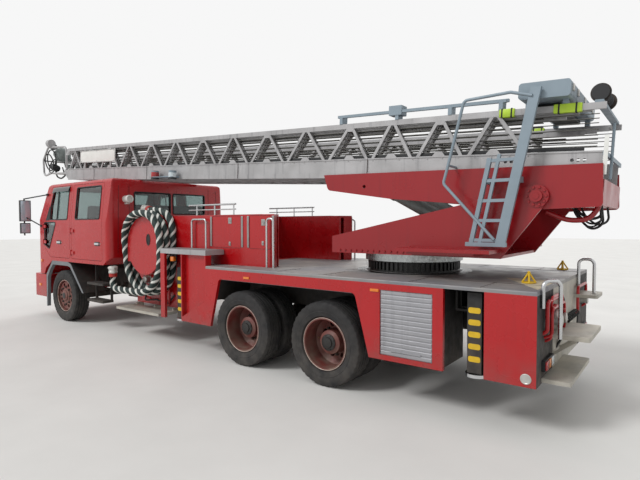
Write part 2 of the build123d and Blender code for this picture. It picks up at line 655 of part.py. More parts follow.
def side_panels():
    y0 = HALF - SKIN
    x0, x1, z0, z1 = SHUTTER
    rear_bay = (BAY_X["rear"] - BAY_WIDTH / 2, BAY_X["rear"] + BAY_WIDTH / 2)
    front_bay = (BAY_X["front"] - BAY_WIDTH / 2, BAY_X["front"] + BAY_WIDTH / 2)
    arch_rear = -TANDEM - ARCH_LEAD - 20
    skin = block(BODY_REAR, DECK_FRONT, y0, HALF, SKIRT_BOTTOM, DECK_BOTTOM)
    arch = ((ARCH_LEAD, SKIRT_BOTTOM - 1), (ARCH_LEAD - ARCH_SLOPE, ARCH_TOP, 60),
            (arch_rear + ARCH_SLOPE, ARCH_TOP, 60), (arch_rear, SKIRT_BOTTOM - 1))
    skin -= side_plate(arch, y0 - 1, HALF + 1)
    skin -= block(x0, x1, y0 - 1, HALF + 1, z0, z1)
    skin -= block(rear_bay[0], rear_bay[1], y0 - 1, HALF + 1, SKIRT_BOTTOM - 1, DECK_BOTTOM + 1)
    # Walls of the rear compartments, running in to the wheels and the frame
    inner = INNER_WHEEL_Y - TYRE_WIDTH / 2 + 5
    walls = [block(x - 10, x + 10, inner, y0, SKIRT_BOTTOM, DECK_BOTTOM)
             for x in (x0 - 60, x1 + 20, BODY_REAR + 10, rear_bay[0] - 10)]
    walls.append(block(x0 - 50, x1 + 20, inner, inner + 12, SKIRT_BOTTOM, DECK_BOTTOM))
    walls.append(block(x0 - 50, x1 + 20, inner, y0, SKIRT_BOTTOM, SKIRT_BOTTOM + 20))
    walls.append(block(BODY_REAR + 10, rear_bay[0] - 10, inner, y0, SKIRT_BOTTOM, SKIRT_BOTTOM + 20))
    # Front block: ledge over the stabiliser bay, its post and the recessed climbing panel
    top = LEDGE_TOP - LEDGE_THICK
    back = y0 - 60
    bay_rear = front_bay[0] - 20
    post = block(front_bay[1] + 10, LEDGE_FRONT - 20, y0, HALF, SKIRT_BOTTOM, top)
    ledge = plan_plate(((DECK_FRONT, LOCKER_HALF + 10), (LEDGE_FRONT, LOCKER_HALF + 10),
                        (LEDGE_FRONT, HALF, 30), (DECK_FRONT, HALF)), top, LEDGE_TOP)
    climb = fuse([block(DECK_FRONT, bay_rear, back, back + 40, SKIRT_BOTTOM, top),
                  block(bay_rear, front_bay[0], back, HALF, SKIRT_BOTTOM, top),
                  side_plate(((DECK_FRONT, SKIRT_BOTTOM), (bay_rear, SKIRT_BOTTOM),
                              (bay_rear, SKIRT_BOTTOM + 60), (DECK_FRONT, SKIRT_BOTTOM + 330)), back, HALF),
                  block(DECK_FRONT, DECK_FRONT + 20, back, HALF, SKIRT_BOTTOM, top)])
    return list(fuse([skin] + walls).solids()) + [post, ledge, climb]


def shutters():
    # Roller shutter with rounded slats and a pull bar at its foot.
    x0, x1, z0, z1 = SHUTTER
    back = HALF - SKIN + 8
    face = back + 16
    parts = [block(x0 + 0.3, x1 - 0.3, back, face, z0 + 0.3, z1 - 0.3)]
    pitch = (z1 - z0) / SLATS
    for n in range(SLATS):
        z = z0 + pitch * (n + 0.5)
        reach = pitch * 0.4
        slat = outline_face(((face - 1, z - reach), (face + 7, z - reach, 5), (face + 7, z + reach, 5),
                             (face - 1, z + reach)))
        parts.append(extrude(Plane.YZ.offset(x0 + 10) * slat, amount=x1 - x0 - 20))
    parts.append(block(x0 + 120, x1 - 120, face + 6, face + 15, z0 + pitch, z0 + pitch + 16))
    return both(fuse(parts))


def pump_body():
    # Pump compartment between the cab and the ledge, and the arched cowl that the hose lies round.
    w = LOCKER_WALL
    body = block(LEDGE_FRONT, PUMP_FRONT, -PUMP_HALF, PUMP_HALF, RAIL_TOP, DECK_BOTTOM)
    body -= block(LEDGE_FRONT + w, PUMP_FRONT - w, -RAIL_OUT, RAIL_OUT, RAIL_TOP - 1, DECK_BOTTOM - w)
    side = block(LEDGE_FRONT, PUMP_FRONT, RAIL_OUT + 1, PUMP_HALF, PUMP_BOTTOM, RAIL_TOP + 1)
    side -= block(LEDGE_FRONT + w, PUMP_FRONT - w, RAIL_OUT + w, PUMP_HALF - w,
                  PUMP_BOTTOM - 1, RAIL_TOP + 2)
    for y in (1, -1):
        body -= block(LEDGE_FRONT + w, PUMP_FRONT - w, y * (RAIL_OUT + w), y * (PUMP_HALF - w),
                      RAIL_TOP - 1, DECK_BOTTOM - w)
    cover = block(DECK_FRONT, PUMP_FRONT - 200, -PUMP_HALF, PUMP_HALF, DECK_BOTTOM, DECK_TOP)
    rear, front = HOSE_LEGS[0] + HOSE_R + 0.3, HOSE_LEGS[1] - HOSE_R - 0.3
    arch_r = (front - rear) / 2
    spring = HOSE_HIGH - HOSE_R - 0.3 - arch_r
    middle = (rear + front) / 2
    cowl = block(rear, front, PUMP_HALF - 1, COWL_OUT, COWL_FOOT, spring)
    cowl += rod((middle, PUMP_HALF - 1, spring), (middle, COWL_OUT, spring), arch_r)
    cowl -= block(rear - 1, LOCKER_FRONT, 0, LOCKER_HALF, DECK_TOP, HOSE_HIGH)
    return fuse([body, cover, cowl] + both(side))


def upper_locker():
    # U-shaped box, open below where it stands on the deck, round the well that the boom's tail turns in.
    w = LOCKER_WALL
    box = block(LOCKER_REAR, LOCKER_FRONT, -LOCKER_HALF, LOCKER_HALF, DECK_TOP, LOCKER_TOP)
    box -= block(LOCKER_REAR - 1, WELL_FRONT, -WELL_HALF, WELL_HALF, DECK_TOP - 1, LOCKER_TOP + 1)
    box -= Pos(SLEW_X, 0, DECK_TOP) * Cylinder(TAIL_SWEEP, 2 * LOCKER_TOP)
    inside = both(block(LOCKER_REAR + 120, WELL_FRONT, WELL_HALF + w, LOCKER_HALF - w,
                        DECK_TOP - 1, LOCKER_TOP - w))
    inside.append(block(WELL_FRONT + w, LOCKER_FRONT - w, w - LOCKER_HALF, LOCKER_HALF - w,
                        DECK_TOP - 1, LOCKER_TOP - w))
    for hollow in inside:
        box -= hollow
    return box


# Stabilisers
def stabiliser(x, side):
    # The tube at the mouth and the beam at its inner end carry the sliding pads.
    length = 2 * BOX_END_Y - 60
    inner = BOX_END_Y + 20 - length
    low = PAD_BOTTOM + PAD_THICK
    top = JACK_TOP - 30
    beam = Pos(x, BOX_END_Y + 20 - length / 2, BOX_Z) * Box(BEAM_W, length, BEAM_H)
    slide = Box(BORE_W - 2 * PAD_FIT, PAD_REACH, BORE_H - 2 * PAD_FIT)
    beam += Pos(x, inner + PAD_REACH / 2, BOX_Z) * slide
    hollow = Box(BEAM_W - 2 * BEAM_WALL, length, BEAM_H - 2 * BEAM_WALL)
    beam -= Pos(x, BOX_END_Y - 20 - length / 2, BOX_Z) * hollow
    arm = block(x - BEAM_W / 2, x + BEAM_W / 2, BOX_END_Y + 10, JACK_Y,
                BOX_Z - BEAM_H / 2, BOX_Z + BEAM_H / 2)
    leg = block(x - JACK_OUT / 2, x + JACK_OUT / 2, JACK_Y - JACK_OUT / 2, JACK_Y + JACK_OUT / 2,
                low + 6, JACK_TOP)
    beam = fuse([beam, arm, leg])
    beam -= Pos(x, JACK_Y, (low + top) / 2) * Cylinder(JACK_ROD_R + PAD_FIT, top - low)
    beam -= Pos(x, JACK_Y, (low + PAD_REACH + top) / 2) * Cylinder(JACK_BORE_R, top - low - PAD_REACH)
    ram = Pos(x, JACK_Y, (low + top - 20) / 2) * Cylinder(JACK_ROD_R, top - 20 - low)
    piston = Pos(x, JACK_Y, top - 50) * Cylinder(JACK_BORE_R - PAD_FIT, 60)
    pad = Pos(x, JACK_Y, PAD_BOTTOM + PAD_THICK / 2) * Cylinder(PAD_R, PAD_THICK)
    jack = fuse([ram, piston, pad])
    return (beam, jack) if side > 0 else (flip(beam), flip(jack))


# Turntable
def slew_ring():
    base = ring_z(SLEW_X, DECK_TOP, RING_TOP, RING_BORE, RING_R - TOOTH_DEPTH)
    teeth = []
    for n in range(RING_TEETH):
        tooth = Pos(RING_R - TOOTH_DEPTH / 2 - 1, 0, 0) * Box(TOOTH_DEPTH + 2, 28, TOOTH_HEIGHT)
        teeth.append(Pos(SLEW_X, 0, DECK_TOP + 70) * Rot(0, 0, 360.0 * n / RING_TEETH) * tooth)
    return fuse([base] + teeth)


def turret():
    # Two tapering side plates with a flange along the top edge and ribs inside, on a round collar.
    inside = TURRET_SIDE - TURRET_PLATE
    top_edge = ((TURRET_TIP, TURRET_BOTTOM + 198), (PIVOT_X + 765, PIVOT_Z - 72),
                (PIVOT_X + 335, PIVOT_Z + 40))
    side = ((TURRET_TIP, TURRET_BOTTOM), top_edge[0], top_edge[1], top_edge[2], (PIVOT_X, PIVOT_Z + BOSS_R),
            (PIVOT_X - 85, PIVOT_Z - 60, 60), (PIVOT_X + 325, TURRET_BOTTOM))
    plate = side_plate(side, inside, TURRET_SIDE)
    plate += rod((PIVOT_X, inside, PIVOT_Z), (PIVOT_X, TURRET_SIDE + 12, PIVOT_Z), BOSS_R)
    plate -= rod((PIVOT_X, 0, PIVOT_Z), (PIVOT_X, HALF, PIVOT_Z), PIVOT_R + PIN_CLEARANCE)
    (ax, az), (bx, bz) = top_edge[0], top_edge[1]
    slope = (bz - az) / (bx - ax)
    flange_end = TURRET_TIP - 560
    flange_top = az + slope * (flange_end - ax)
    flange = side_plate(((ax, az - RIB), (ax, az), (flange_end, flange_top), (flange_end, flange_top - RIB)),
                        inside - 45, inside + 1)
    ribs = []
    for x in (SLEW_X + 350, SLEW_X - 250):
        ribs.append(block(x - RIB, x, inside - 45, inside + 1, TURRET_BOTTOM, az + slope * (x - ax) - 30))
    floor = block(TURRET_TIP, PIVOT_X + 325, -inside, inside, TURRET_BOTTOM, TURRET_BOTTOM + 30)
    nose = block(TURRET_TIP - 30, TURRET_TIP, -inside, inside, TURRET_BOTTOM, TURRET_BOTTOM + 190)
    collar = ring_z(SLEW_X, RING_TOP + 0.5, TURRET_BOTTOM, RING_BORE, COLLAR_R)
    parts = both(plate) + both(flange) + [floor, nose, collar]
    for rib in ribs:
        parts += both(rib)
    bx, bz = BARREL_EYE
    for y0, y1 in eye_plates():
        parts.append(side_plate(((bx - 150, TURRET_BOTTOM + 20), (bx + 150, TURRET_BOTTOM + 20),
                                 (bx + 70, bz + 60, 60), (bx - 70, bz + 60, 60)), y0, y1))
    solid = fuse(parts)
    for y in (-CYL_Y, CYL_Y):
        reach = EYE_WIDTH / 2 + 50
        solid -= rod((bx, y - reach, bz), (bx, y + reach, bz), LIFT_PIN_R + PIN_CLEARANCE)
    step = block(PIVOT_X + 325, PIVOT_X + 1305, TURRET_SIDE, 1020, STEP_TOP - 35, STEP_TOP)
    web = block(PIVOT_X + 485, PIVOT_X + 1185, TURRET_SIDE, 980, STEP_TOP - 60, STEP_TOP - 35)
    return fuse([solid] + both(step) + both(web))


def eye_plates():
    # Where the clevis plates stand across the vehicle, low and high Y.
    out = []
    for y in (-CYL_Y, CYL_Y):
        for side in (-1, 1):
            near = y + side * (EYE_WIDTH / 2 + EYE_GAP)
            far = near + side * EYE_PLATE
            out.append((min(near, far), max(near, far)))
    return out


def console():
    # Operator's desk on the right-hand step, with a sloping top and a rail round it.
    x = PIVOT_X + 985
    post = block(x - 100, x + 100, -1000, -760, STEP_TOP, STEP_TOP + 520)
    desk = side_plate(((x - 160, STEP_TOP + 520, 20), (x + 160, STEP_TOP + 520, 20),
                       (x + 160, STEP_TOP + 600, 20), (x - 160, STEP_TOP + 680, 20)), -1010, -740)
    return fuse([post, desk])


# Boom and ladder
def on_boom(shape):
    return Pos(PIVOT_X, 0, PIVOT_Z) * Rot(0, -REST_ANGLE, 0) * shape


def to_boom(point):
    dx, dz = point[0] - PIVOT_X, point[1] - PIVOT_Z
    turn = math.radians(REST_ANGLE)
    return dx * math.cos(turn) + dz * math.sin(turn), dz * math.cos(turn) - dx * math.sin(turn)


def boom_frame():
    # Side plates with a flange along the lower edge, tied by cross beams, and the lift clevises.
    inside = FRAME_OUT - FRAME_PLATE
    plate = side_plate(FRAME_BOTTOM + FRAME_TOP, inside, FRAME_OUT)
    plate -= rod((1915, 0, 78), (1915, HALF, 78), 22)
    u0, w0 = FRAME_BOTTOM[1][:2]
    u1, w1 = FRAME_BOTTOM[2][:2]
    flange = side_plate(((u0 - 120, w0 - 4), (u1 + 60, w1 + 4),
                         (u1 + 60, w1 + 4 + RIB), (u0 - 120, w0 - 4 + RIB)), inside - 50, inside + 1)
    parts = both(plate) + both(flange)
    # Cross beams: rear u, front u, low w, high w
    for rear, front, low, high in ((-530, -505, -70, 160), (-500, 350, -70, -45), (1960, 2060, 50, 165),
                                   (880, 960, 0, 120)):
        parts.append(block(rear, front, -inside, inside, low, high))
    eye_u, eye_w = to_boom(ROD_EYE)
    for y0, y1 in eye_plates():
        parts.append(side_plate(((eye_u - 70, eye_w - 80, 50), (eye_u + 60, eye_w - 80, 40), (2000, 60),
                                 (2000, 160), (eye_u - 40, 165), (eye_u - 70, 120)), y0, y1))
    solid = fuse(parts)
    for y in (-CYL_Y, CYL_Y):
        reach = EYE_WIDTH / 2 + 50
        solid -= rod((eye_u, y - reach, eye_w), (eye_u, y + reach, eye_w), LIFT_PIN_R + 1)
    pin = rod((0, -TURRET_SIDE - 40, 0), (0, TURRET_SIDE + 40, 0), PIVOT_R)
    return on_boom(fuse([solid, pin]))


def chord(index, rear, front, half, low, top):
    # Lower chord of a side: the base's is a channel with a proud flange and holes toward the rear.
    y0 = half - SECTION_WALL
    if index:
        return block(rear, front, y0, half, low, top)
    bar = block(rear, front, y0, half, low, low + CHORD_FLANGE)
    bar += block(rear, front, y0, half - CHORD_RECESS, low + CHORD_FLANGE - 1, top)
    bar += block(rear, front, y0, half, top - 14, top)
    for u in CHORD_HOLES:
        bar -= rod((u, y0 - 1, top - 80), (u, half + 1, top - 80), 16)
    return bar


def section(index):
    # One ladder section: two trussed sides and the rungs between them. Each lies inside the one before.
    half = BASE_HALF - index * SECTION_STEP
    low = CHORD_BOTTOM + index * CHORD_RISE
    top = RAIL_HIGH - index * RAIL_DROP
    rear = BASE_REAR + index * SECTION_LEAD
    front = BASE_FRONT + index * SECTION_LEAD
    y0 = half - SECTION_WALL
    chord_top = low + 110 if index else CHORD_TOP
    rail_h = 45 if index else RAIL_HIGH - RAIL_LOW
    side = [chord(index, rear, front, half, low, chord_top),
            block(rear, front, y0, half, top - rail_h, top)]
    nodes = [REAR_NODE + REAR_PITCH * n for n in range(REAR_BAYS)]
    nodes += [REAR_NODE + REAR_PITCH * REAR_BAYS + FRONT_PITCH * n for n in range(FRONT_BAYS + 1)]
    middle = y0 + SECTION_WALL / 2
    for n, u in enumerate(nodes):
        back = (nodes[n - 1] + u) / 2 if n else u - 350
        ahead = (nodes[n + 1] + u) / 2 if n + 1 < len(nodes) else u + 350
        for foot, head in ((back + 40, u - 28), (ahead - 40, u + 28)):
            if min(foot, head) > rear + 40 and max(foot, head) < front - 40:
                side.append(strut((foot, middle, chord_top - 10), (head, middle, top - rail_h + 10),
                                  DIAGONAL, 18))
    reach = SECTION_STEP - SECTION_WALL - PAD_FIT
    if index:
        side += [block(u, u + 200, half - 1, half + reach, low + 40, low + 72)
                 for u in (rear + 30, rear + 900)]
    if index + 1 < SECTION_COUNT:
        side += [block(u, u + 150, y0 - reach, y0 + 1, low + 38, low + 70)
                 for u in (front - 170, front - 800)]
    rungs = both(block(rear, front, y0 - RUNG_SIZE, y0, low + 2, low + 12))
    for n in range(int((front - rear - 200) / RUNG_PITCH) + 1):
        u = rear + 120 + RUNG_PITCH * n
        rungs.append(block(u, u + RUNG_SIZE, -y0, y0, low + 2, low + 2 + RUNG_SIZE))
    return [on_boom(part) for part in both(fuse(side)) + [fuse(rungs)]]


def ladder_tip():
    # Guard hoops round the end of the fly, a monitor on a riser, and a searchlight.
    out = FLY_HALF - 30
    end = FLY_FRONT + 1150
    beam = block(FLY_FRONT, FLY_FRONT + 60, -FLY_HALF, FLY_HALF, FLY_LOW + 20, FLY_LOW + 120)
    floor = block(FLY_FRONT + 60, end - 250, -out, out, FLY_LOW + 40, FLY_LOW + 65)
    parts = [beam, floor]
    for y in (-out, out):
        parts.append(rail([(FLY_FRONT + 20, y, FLY_LOW + 100), (FLY_FRONT + 40, y, FLY_TOP + 140),
                           (end - 250, y, FLY_TOP + 170), (end, y, FLY_TOP - 120),
                           (end - 60, y, FLY_LOW - 20), (end - 420, y, FLY_LOW + 52)], 20, 110))
    for u, w in ((end - 250, FLY_TOP + 161), (end - 5, FLY_TOP - 130)):
        parts.append(rod((u, -out, w), (u, out, w), 16))
    riser = rod((FLY_FRONT + 520, 0, FLY_LOW + 60), (FLY_FRONT + 520, 0, FLY_LOW + 330), 55)
    elbow = Pos(FLY_FRONT + 520, 0, FLY_LOW + 330) * Sphere(75)
    barrel = rod((FLY_FRONT + 520, 0, FLY_LOW + 330), (end - 120, 0, FLY_LOW + 390), 45)
    lamp = rod((end - 420, out, FLY_TOP + 245), (end - 300, out, FLY_TOP + 245), 85)
    stalk = rod((end - 360, out, FLY_TOP + 150), (end - 360, out, FLY_TOP + 245), 18)
    return on_boom(fuse(parts + [riser, elbow, barrel, stalk, lamp]))


def access_ladder():
    # A wide stile with a short ladder beside it on the boom's left, and the handrail before them.
    y = STILE_Y
    x0 = PIVOT_X + 295
    foot = STEP_TOP + 35
    parts = [strut((x0, y, foot), (x0 - STILE_LEAN * (STILE_TOP - foot), y, STILE_TOP), 90, 40),
             strut((x0 + 280, y, foot), (x0 + 100, y, foot + 840), 40, 40),
             strut((x0 + 190, y, foot + 30), (x0 + 10, y, foot + 870), 30, 30)]
    for n in range(5):
        z = foot + 40 + 190 * n
        shift = (z - foot) * STILE_LEAN
        parts.append(block(x0 - 20 - shift, x0 + 300 - shift, y - 15, y + 15, z, z + 30))
    parts.append(block(x0 - 60, x0 + 330, y - 20, y + 20, foot - 6, foot + 34))
    for x, z in ((x0 - 140, 2230.0), (x0 + 130, 2225.0)):
        parts.append(block(x - 28, x + 28, FRAME_OUT, y - 14, z - 28, z + 28))
    ladder = fuse(parts)
    handrail = rail([(x0 + 50, y + 20, foot + 60), (x0 + 560, y + 20, foot + 620),
                     (x0 + 500, y + 20, foot + 840), (x0 + 350, y + 20, foot + 1420),
                     (x0 - 90, y + 20, foot + 1430), (x0 - 280, y + 20, foot + 1370)], 15, 50)
    stay = rod((x0 + 511, BASE_HALF - CHORD_RECESS, foot + 800), (x0 + 511, y + 20, foot + 800), 12)
    return fuse([ladder, handrail, stay])


def boom_fittings():
    # On the boom: the cover box, the bar with its motor, a reel, the lamps beside the chord, and a mast.
    corner = 30
    box = side_plate(((-235, 880, corner), (205, 880, corner),
                      (205, 1030, corner), (-235, 1030, corner)), -600, 760)
    feet = [block(u, u + 50, y - 25, y + 25, RAIL_HIGH, 881) for u in (-200, 120)
            for y in (25 - BASE_HALF, BASE_HALF - 25)]
    side = BASE_HALF - SECTION_WALL / 2
    bar = block(350, 2350, side - 18, side + 18, 905, 935)
    bar = fuse([bar, block(350, 1500, side - 90, side - 60, 925, 955),
                block(1480, 1640, side - 100, side + 25, 880, 985)]
               + [block(u, u + 40, side - 90, side + 18, RAIL_HIGH, 930) for u in (380, 900, 1520, 2280)])
    drum = rod((-440, 120, 925), (-440, 560, 925), 45)
    cheeks = [rod((-440, y, 925), (-440, y + 16, 925), 70) for y in (104, 560)]
    cradle = [block(-470, -410, y, y + 16, RAIL_HIGH + 10, 925) for y in (104, 560)]
    beam = block(-475, -405, 10 - BASE_HALF, BASE_HALF - 10, RAIL_HIGH, RAIL_HIGH + 24)
    reel = fuse([drum, beam] + cheeks + cradle)
    bracket = block(5480, 6060, BASE_HALF, BASE_HALF + 40, CHORD_BOTTOM + 20, CHORD_BOTTOM + 50)
    y = BASE_HALF + 90
    lamps = [rod((u, y, CHORD_BOTTOM - 8), (u, y, CHORD_BOTTOM + 132), 62) for u in (5530, 6010)]
    shelf = block(5470, 6070, BASE_HALF + 39, BASE_HALF + 152, CHORD_BOTTOM + 20, CHORD_BOTTOM + 32)
    beacons = fuse([bracket, shelf] + lamps)
    mast = fuse([rod((-535, 300, 180), (-535, 300, 690), 13),
                 block(BASE_REAR - 24, BASE_REAR, -BASE_HALF, BASE_HALF, CHORD_TOP - 40, CHORD_TOP)])
    return [on_boom(item) for item in (fuse([box] + feet), bar, reel, beacons, mast)]


def lift_line(y):
    start = Vector(BARREL_EYE[0], y, BARREL_EYE[1])
    end = Vector(ROD_EYE[0], y, ROD_EYE[1])
    return start, end, (end - start).normalized()


def along(start, way, near, far, radius):
    return rod(tuple(start + way * near), tuple(start + way * far), radius)


def cross_pin(at, half, radius):
    return rod((at.X, at.Y - half, at.Z), (at.X, at.Y + half, at.Z), radius)


def lift_barrels():
    out = []
    for y in (-CYL_Y, CYL_Y):
        start, end, way = lift_line(y)
        body = along(start, way, 170, BARREL_END, BARREL_R)
        body += along(start, way, BARREL_END - 70, BARREL_END, BARREL_R + 10)
        body += along(start, way, 40, 171, EYE_WIDTH / 2 - 2)
        body -= along(start, way, 178, BARREL_END + 1, LIFT_ROD_R + 0.3)
        body -= along(start, way, 178, BARREL_END - GLAND_LENGTH, LIFT_ROD_R + 3)
        eye = cross_pin(start, EYE_WIDTH / 2, EYE_R)
        out.append(fuse([body, eye, cross_pin(start, EYE_WIDTH / 2 + 40, LIFT_PIN_R)]))
    return out


def lift_rods():
    out = []
    for y in (-CYL_Y, CYL_Y):
        start, end, way = lift_line(y)
        reach = (end - start).length
        body = along(start, way, 182, reach - 40, LIFT_ROD_R)
        piston = along(start, way, 182, 222, LIFT_ROD_R + 2.7)
        out.append(fuse([body, piston, cross_pin(end, EYE_WIDTH / 2, EYE_R)]))
    return out


# Pieces that finish the chassis, the body and the cab
def front_bumper():
    shape = plan_plate(((BUMPER_REAR, -HALF), (BUMPER_NOSE - 140, -HALF, 80), (BUMPER_NOSE, -1050, 120),
                        (BUMPER_NOSE, 1050, 120), (BUMPER_NOSE - 140, HALF, 80), (BUMPER_REAR, HALF)),
                       BUMPER_BOTTOM, BUMPER_TOP)
    shape -= block(BUMPER_REAR - 190, BUMPER_NOSE - 220, 40 - HALF, HALF - 40,
                   BUMPER_BOTTOM - 20, BUMPER_TOP - 25)
    for low, high in ((470, 500), (520, 550)):
        shape -= block(BUMPER_NOSE - 30, BUMPER_NOSE + 1, -560, 560, low, high)
    brackets = both(block(FRAME_FRONT, BUMPER_NOSE - 219, RAIL_OUT - RAIL_FLANGE, RAIL_OUT, 740, 800))
    return fuse([shape] + brackets)


def cab_trim():
    # Slatted grille in the nose, and the plate under the windscreen that the wipers sit in.
    x = CAB_NOSE + 0.3
    low, high = CAB_NOSE_BOTTOM + 120, CAB_NOSE_BOTTOM + 400
    frame = block(x, x + 30, -760, 760, low, high) - block(x + 8, x + 31, -730, 730, low + 25, high - 25)
    pitch = (high - low - 50) / GRILLE_SLATS
    slats = [block(x + 7, x + 24, -735, 735, low + 25 + pitch * (n + 0.25), low + 25 + pitch * (n + 0.6))
             for n in range(GRILLE_SLATS)]
    return fuse([frame] + slats)


def mudguards():
    # Grey arch trim at the front wheel, its lining, and the linings over the rear wheels.
    w = WHEELBASE
    outer = ((w + 684, 220), (w + 684, 845, 40), (w + 560, 972, 60), (w + 415, ARCH_SILL),
             (w - 200, ARCH_SILL), (w - 320, 1090, 60), (w - 780, 590))
    inner = ((w - 720, 590), (w - 290, 1030, 60), (w - 180, 1050, 40), (w + 400, 1050, 40),
             (w + 530, 935, 60), (w + 625, 800, 40), (w + 650, 220))
    front = side_plate(outer + inner, HALF - 60, HALF)
    lining = side_plate(((w - 780, 590), (w - 320, 1090, 60), (w - 200, ARCH_SILL), (w + 415, ARCH_SILL),
                         (w + 400, 1050), (w - 180, 1050, 40), (w - 290, 1030, 60), (w - 720, 590)),
                        HALF - 420, HALF - 59)
    ahead, behind = ARCH_LEAD - 153, -TANDEM - 448
    cover = ((ahead, ARCH_TOP + 20, 40), (ahead + 72, 800), (ahead + 52, 800), (ahead - 16, ARCH_TOP - 12, 30),
             (behind + 16, ARCH_TOP - 12, 30), (behind - 52, 800), (behind - 72, 800),
             (behind, ARCH_TOP + 20, 40))
    rear = side_plate(cover, INNER_WHEEL_Y - TYRE_WIDTH / 2 - 15, HALF - SKIN - 0.3)
    return both(fuse([front, lining])) + both(rear)


def engine_block():
    return block(ENGINE_X[0], ENGINE_X[1], -ENGINE_HALF, ENGINE_HALF, ENGINE_Z[0], ENGINE_Z[1])


def tanks():
    # Fuel tank on the right and battery box on the left, hung on the rail behind the front wheels.
    fuel = side_plate(((CAB_REAR - 100, 520, 40), (CAB_REAR + 100, 520, 40), (CAB_REAR + 100, 960, 40),
                       (CAB_REAR - 100, 960, 40)), -1150, -RAIL_OUT)
    battery = block(CAB_REAR - 150, CAB_REAR + 130, RAIL_OUT, 820, 560, 940)
    return [fuel, battery]


def crew_steps():
    # Two treads and two hangers under a rear cab door.
    rear = CAB_REAR + 270
    front = rear + 540
    parts = [plan_plate(((rear, 1020), (front, 1020), (front, 1215, 20), (rear, 1215, 20)), z, z + 40)
             for z in CREW_STEP_HEIGHTS]
    parts += [block(x, x + 20, 1020, 1060, 500, CAB_FLOOR) for x in (rear + 10, front - 30)]
    return fuse(parts)


def pump_steps():
    hangers = [block(x, x + 40, PUMP_HALF - 60, 920, 430, PUMP_BOTTOM)
               for x in (LEDGE_FRONT + 130, (LEDGE_FRONT + PUMP_FRONT) / 2, PUMP_FRONT - 100)]
    return fuse([block(LEDGE_FRONT + 60, PUMP_FRONT, 900, HALF - 10, 430, 470)] + hangers)


def rear_steps():
    # Rear wall, its three platforms, and the V stay under the middle one.
    x = BODY_REAR
    parts = [block(x, x + 12, -640, 640, SKIRT_BOTTOM, DECK_BOTTOM)]
    # Platforms: reach, low y, high y, underside, thickness
    platforms = ((230, 100, 1060, 450, 35), (330, 150, 820, 790, 40), (230, -760, -380, 1010, 35))
    for reach, y0, y1, z, thick in platforms:
        parts.append(plan_plate(((x, y0), (x, y1), (x - reach, y1, 25), (x - reach, y0, 25)), z, z + thick))
    for y in (300, 600):
        parts.append(strut((x + 2, y, 600), (x - 250, y, 792), 24, 24))
    return fuse(parts)


def grab_rails():
    r = 17.0
    x = BODY_REAR
    gap = r + 0.3
    left = rail([(x - gap, 1120, 1100), (x - gap, 1120, DECK_TOP + 80), (x - 130, 1000, DECK_TOP + 80),
                 (x - 130, 1000, 832)], r, 60)
    right = rail([(x - gap, -560, 1100), (x - gap, -560, DECK_TOP + 170), (x - 170, -560, DECK_TOP + 170),
                  (x - 170, -560, 1048)], r, 60)
    out = [left, right]
    # Hoops beside the locker: front x, rear x, foot z
    for front, rear, foot in ((LEDGE_FRONT - 385, LEDGE_FRONT - 705, LEDGE_TOP), (-190, -305, DECK_TOP)):
        hoop = rail([(front, LOCKER_HALF + 45, foot), (front, LOCKER_HALF + 45, LOCKER_TOP - 60),
                     (rear, LOCKER_HALF + 45, LOCKER_TOP - 60), (rear, LOCKER_HALF + 45, foot)], 14, 45)
        out += both(hoop)
    # Rails along the top of the locker
    for side in (1, -1):
        y = side * (LOCKER_HALF - 25)
        posts = [rod((px, y, LOCKER_TOP), (px, y, LOCKER_TOP + 150), 10) for px in (500, 900, 1300)]
        out.append(fuse([rod((460, y, LOCKER_TOP + 150), (1480, y, LOCKER_TOP + 150), 13),
                         rod((460, y, LOCKER_TOP + 80), (1480, y, LOCKER_TOP + 80), 9)] + posts))
    return out


def mirrors():
    out = []
    post_x = CAB_NOSE + 165
    for side in (1, -1):
        y = side * 1400
        head = side_plate(((post_x - 60, 1880, 12), (post_x - 10, 1880, 12), (post_x - 10, 2300, 12),
                           (post_x - 60, 2300, 12)), y - 100, y + 100)
        low = side_plate(((post_x - 55, 1640, 12), (post_x - 10, 1640, 12), (post_x - 10, 1850, 12),
                          (post_x - 55, 1850, 12)), y - 90, y + 90)
        post = rod((post_x, y, 1600), (post_x, y, 2340), 14)
        arms = [rod((post_x, y, 1980), (CAB_NOSE - 255, side * 1258, 1790), 12),
                rod((post_x, y, 2330), (CAB_NOSE - 415, side * 1205, 2400), 12)]
        feet = [block(CAB_NOSE - 285, CAB_NOSE - 225, side * (HALF + 0.3), side * (HALF + 25), 1770, 1810),
                block(CAB_NOSE - 445, CAB_NOSE - 385, side * 1190, side * 1218, 2380, 2420)]
        out.append(fuse([head, low, post] + arms + feet))
    return out


def lamps():
    # Headlamps in the bumper, rear lamp blocks, and the work lamp on the cab's rear wall.
    out = []
    x = BUMPER_NOSE
    for side in (1, -1):
        out.append(rod((x, side * 900, 650), (x + 15, side * 900, 650), 95))
        out.append(rod((x, side * 690, 650), (x + 15, side * 690, 650), 70))
        out.append(front_plate(((side * 730, 540, 20), (side * 1070, 540, 20), (side * 1070, 640, 20),
                                (side * 730, 640, 20)), BODY_REAR - 30, BODY_REAR))
    out.append(rod((CAB_REAR - 0.3, 930, 2250), (CAB_REAR - 90, 930, 2250), 60))
    return out


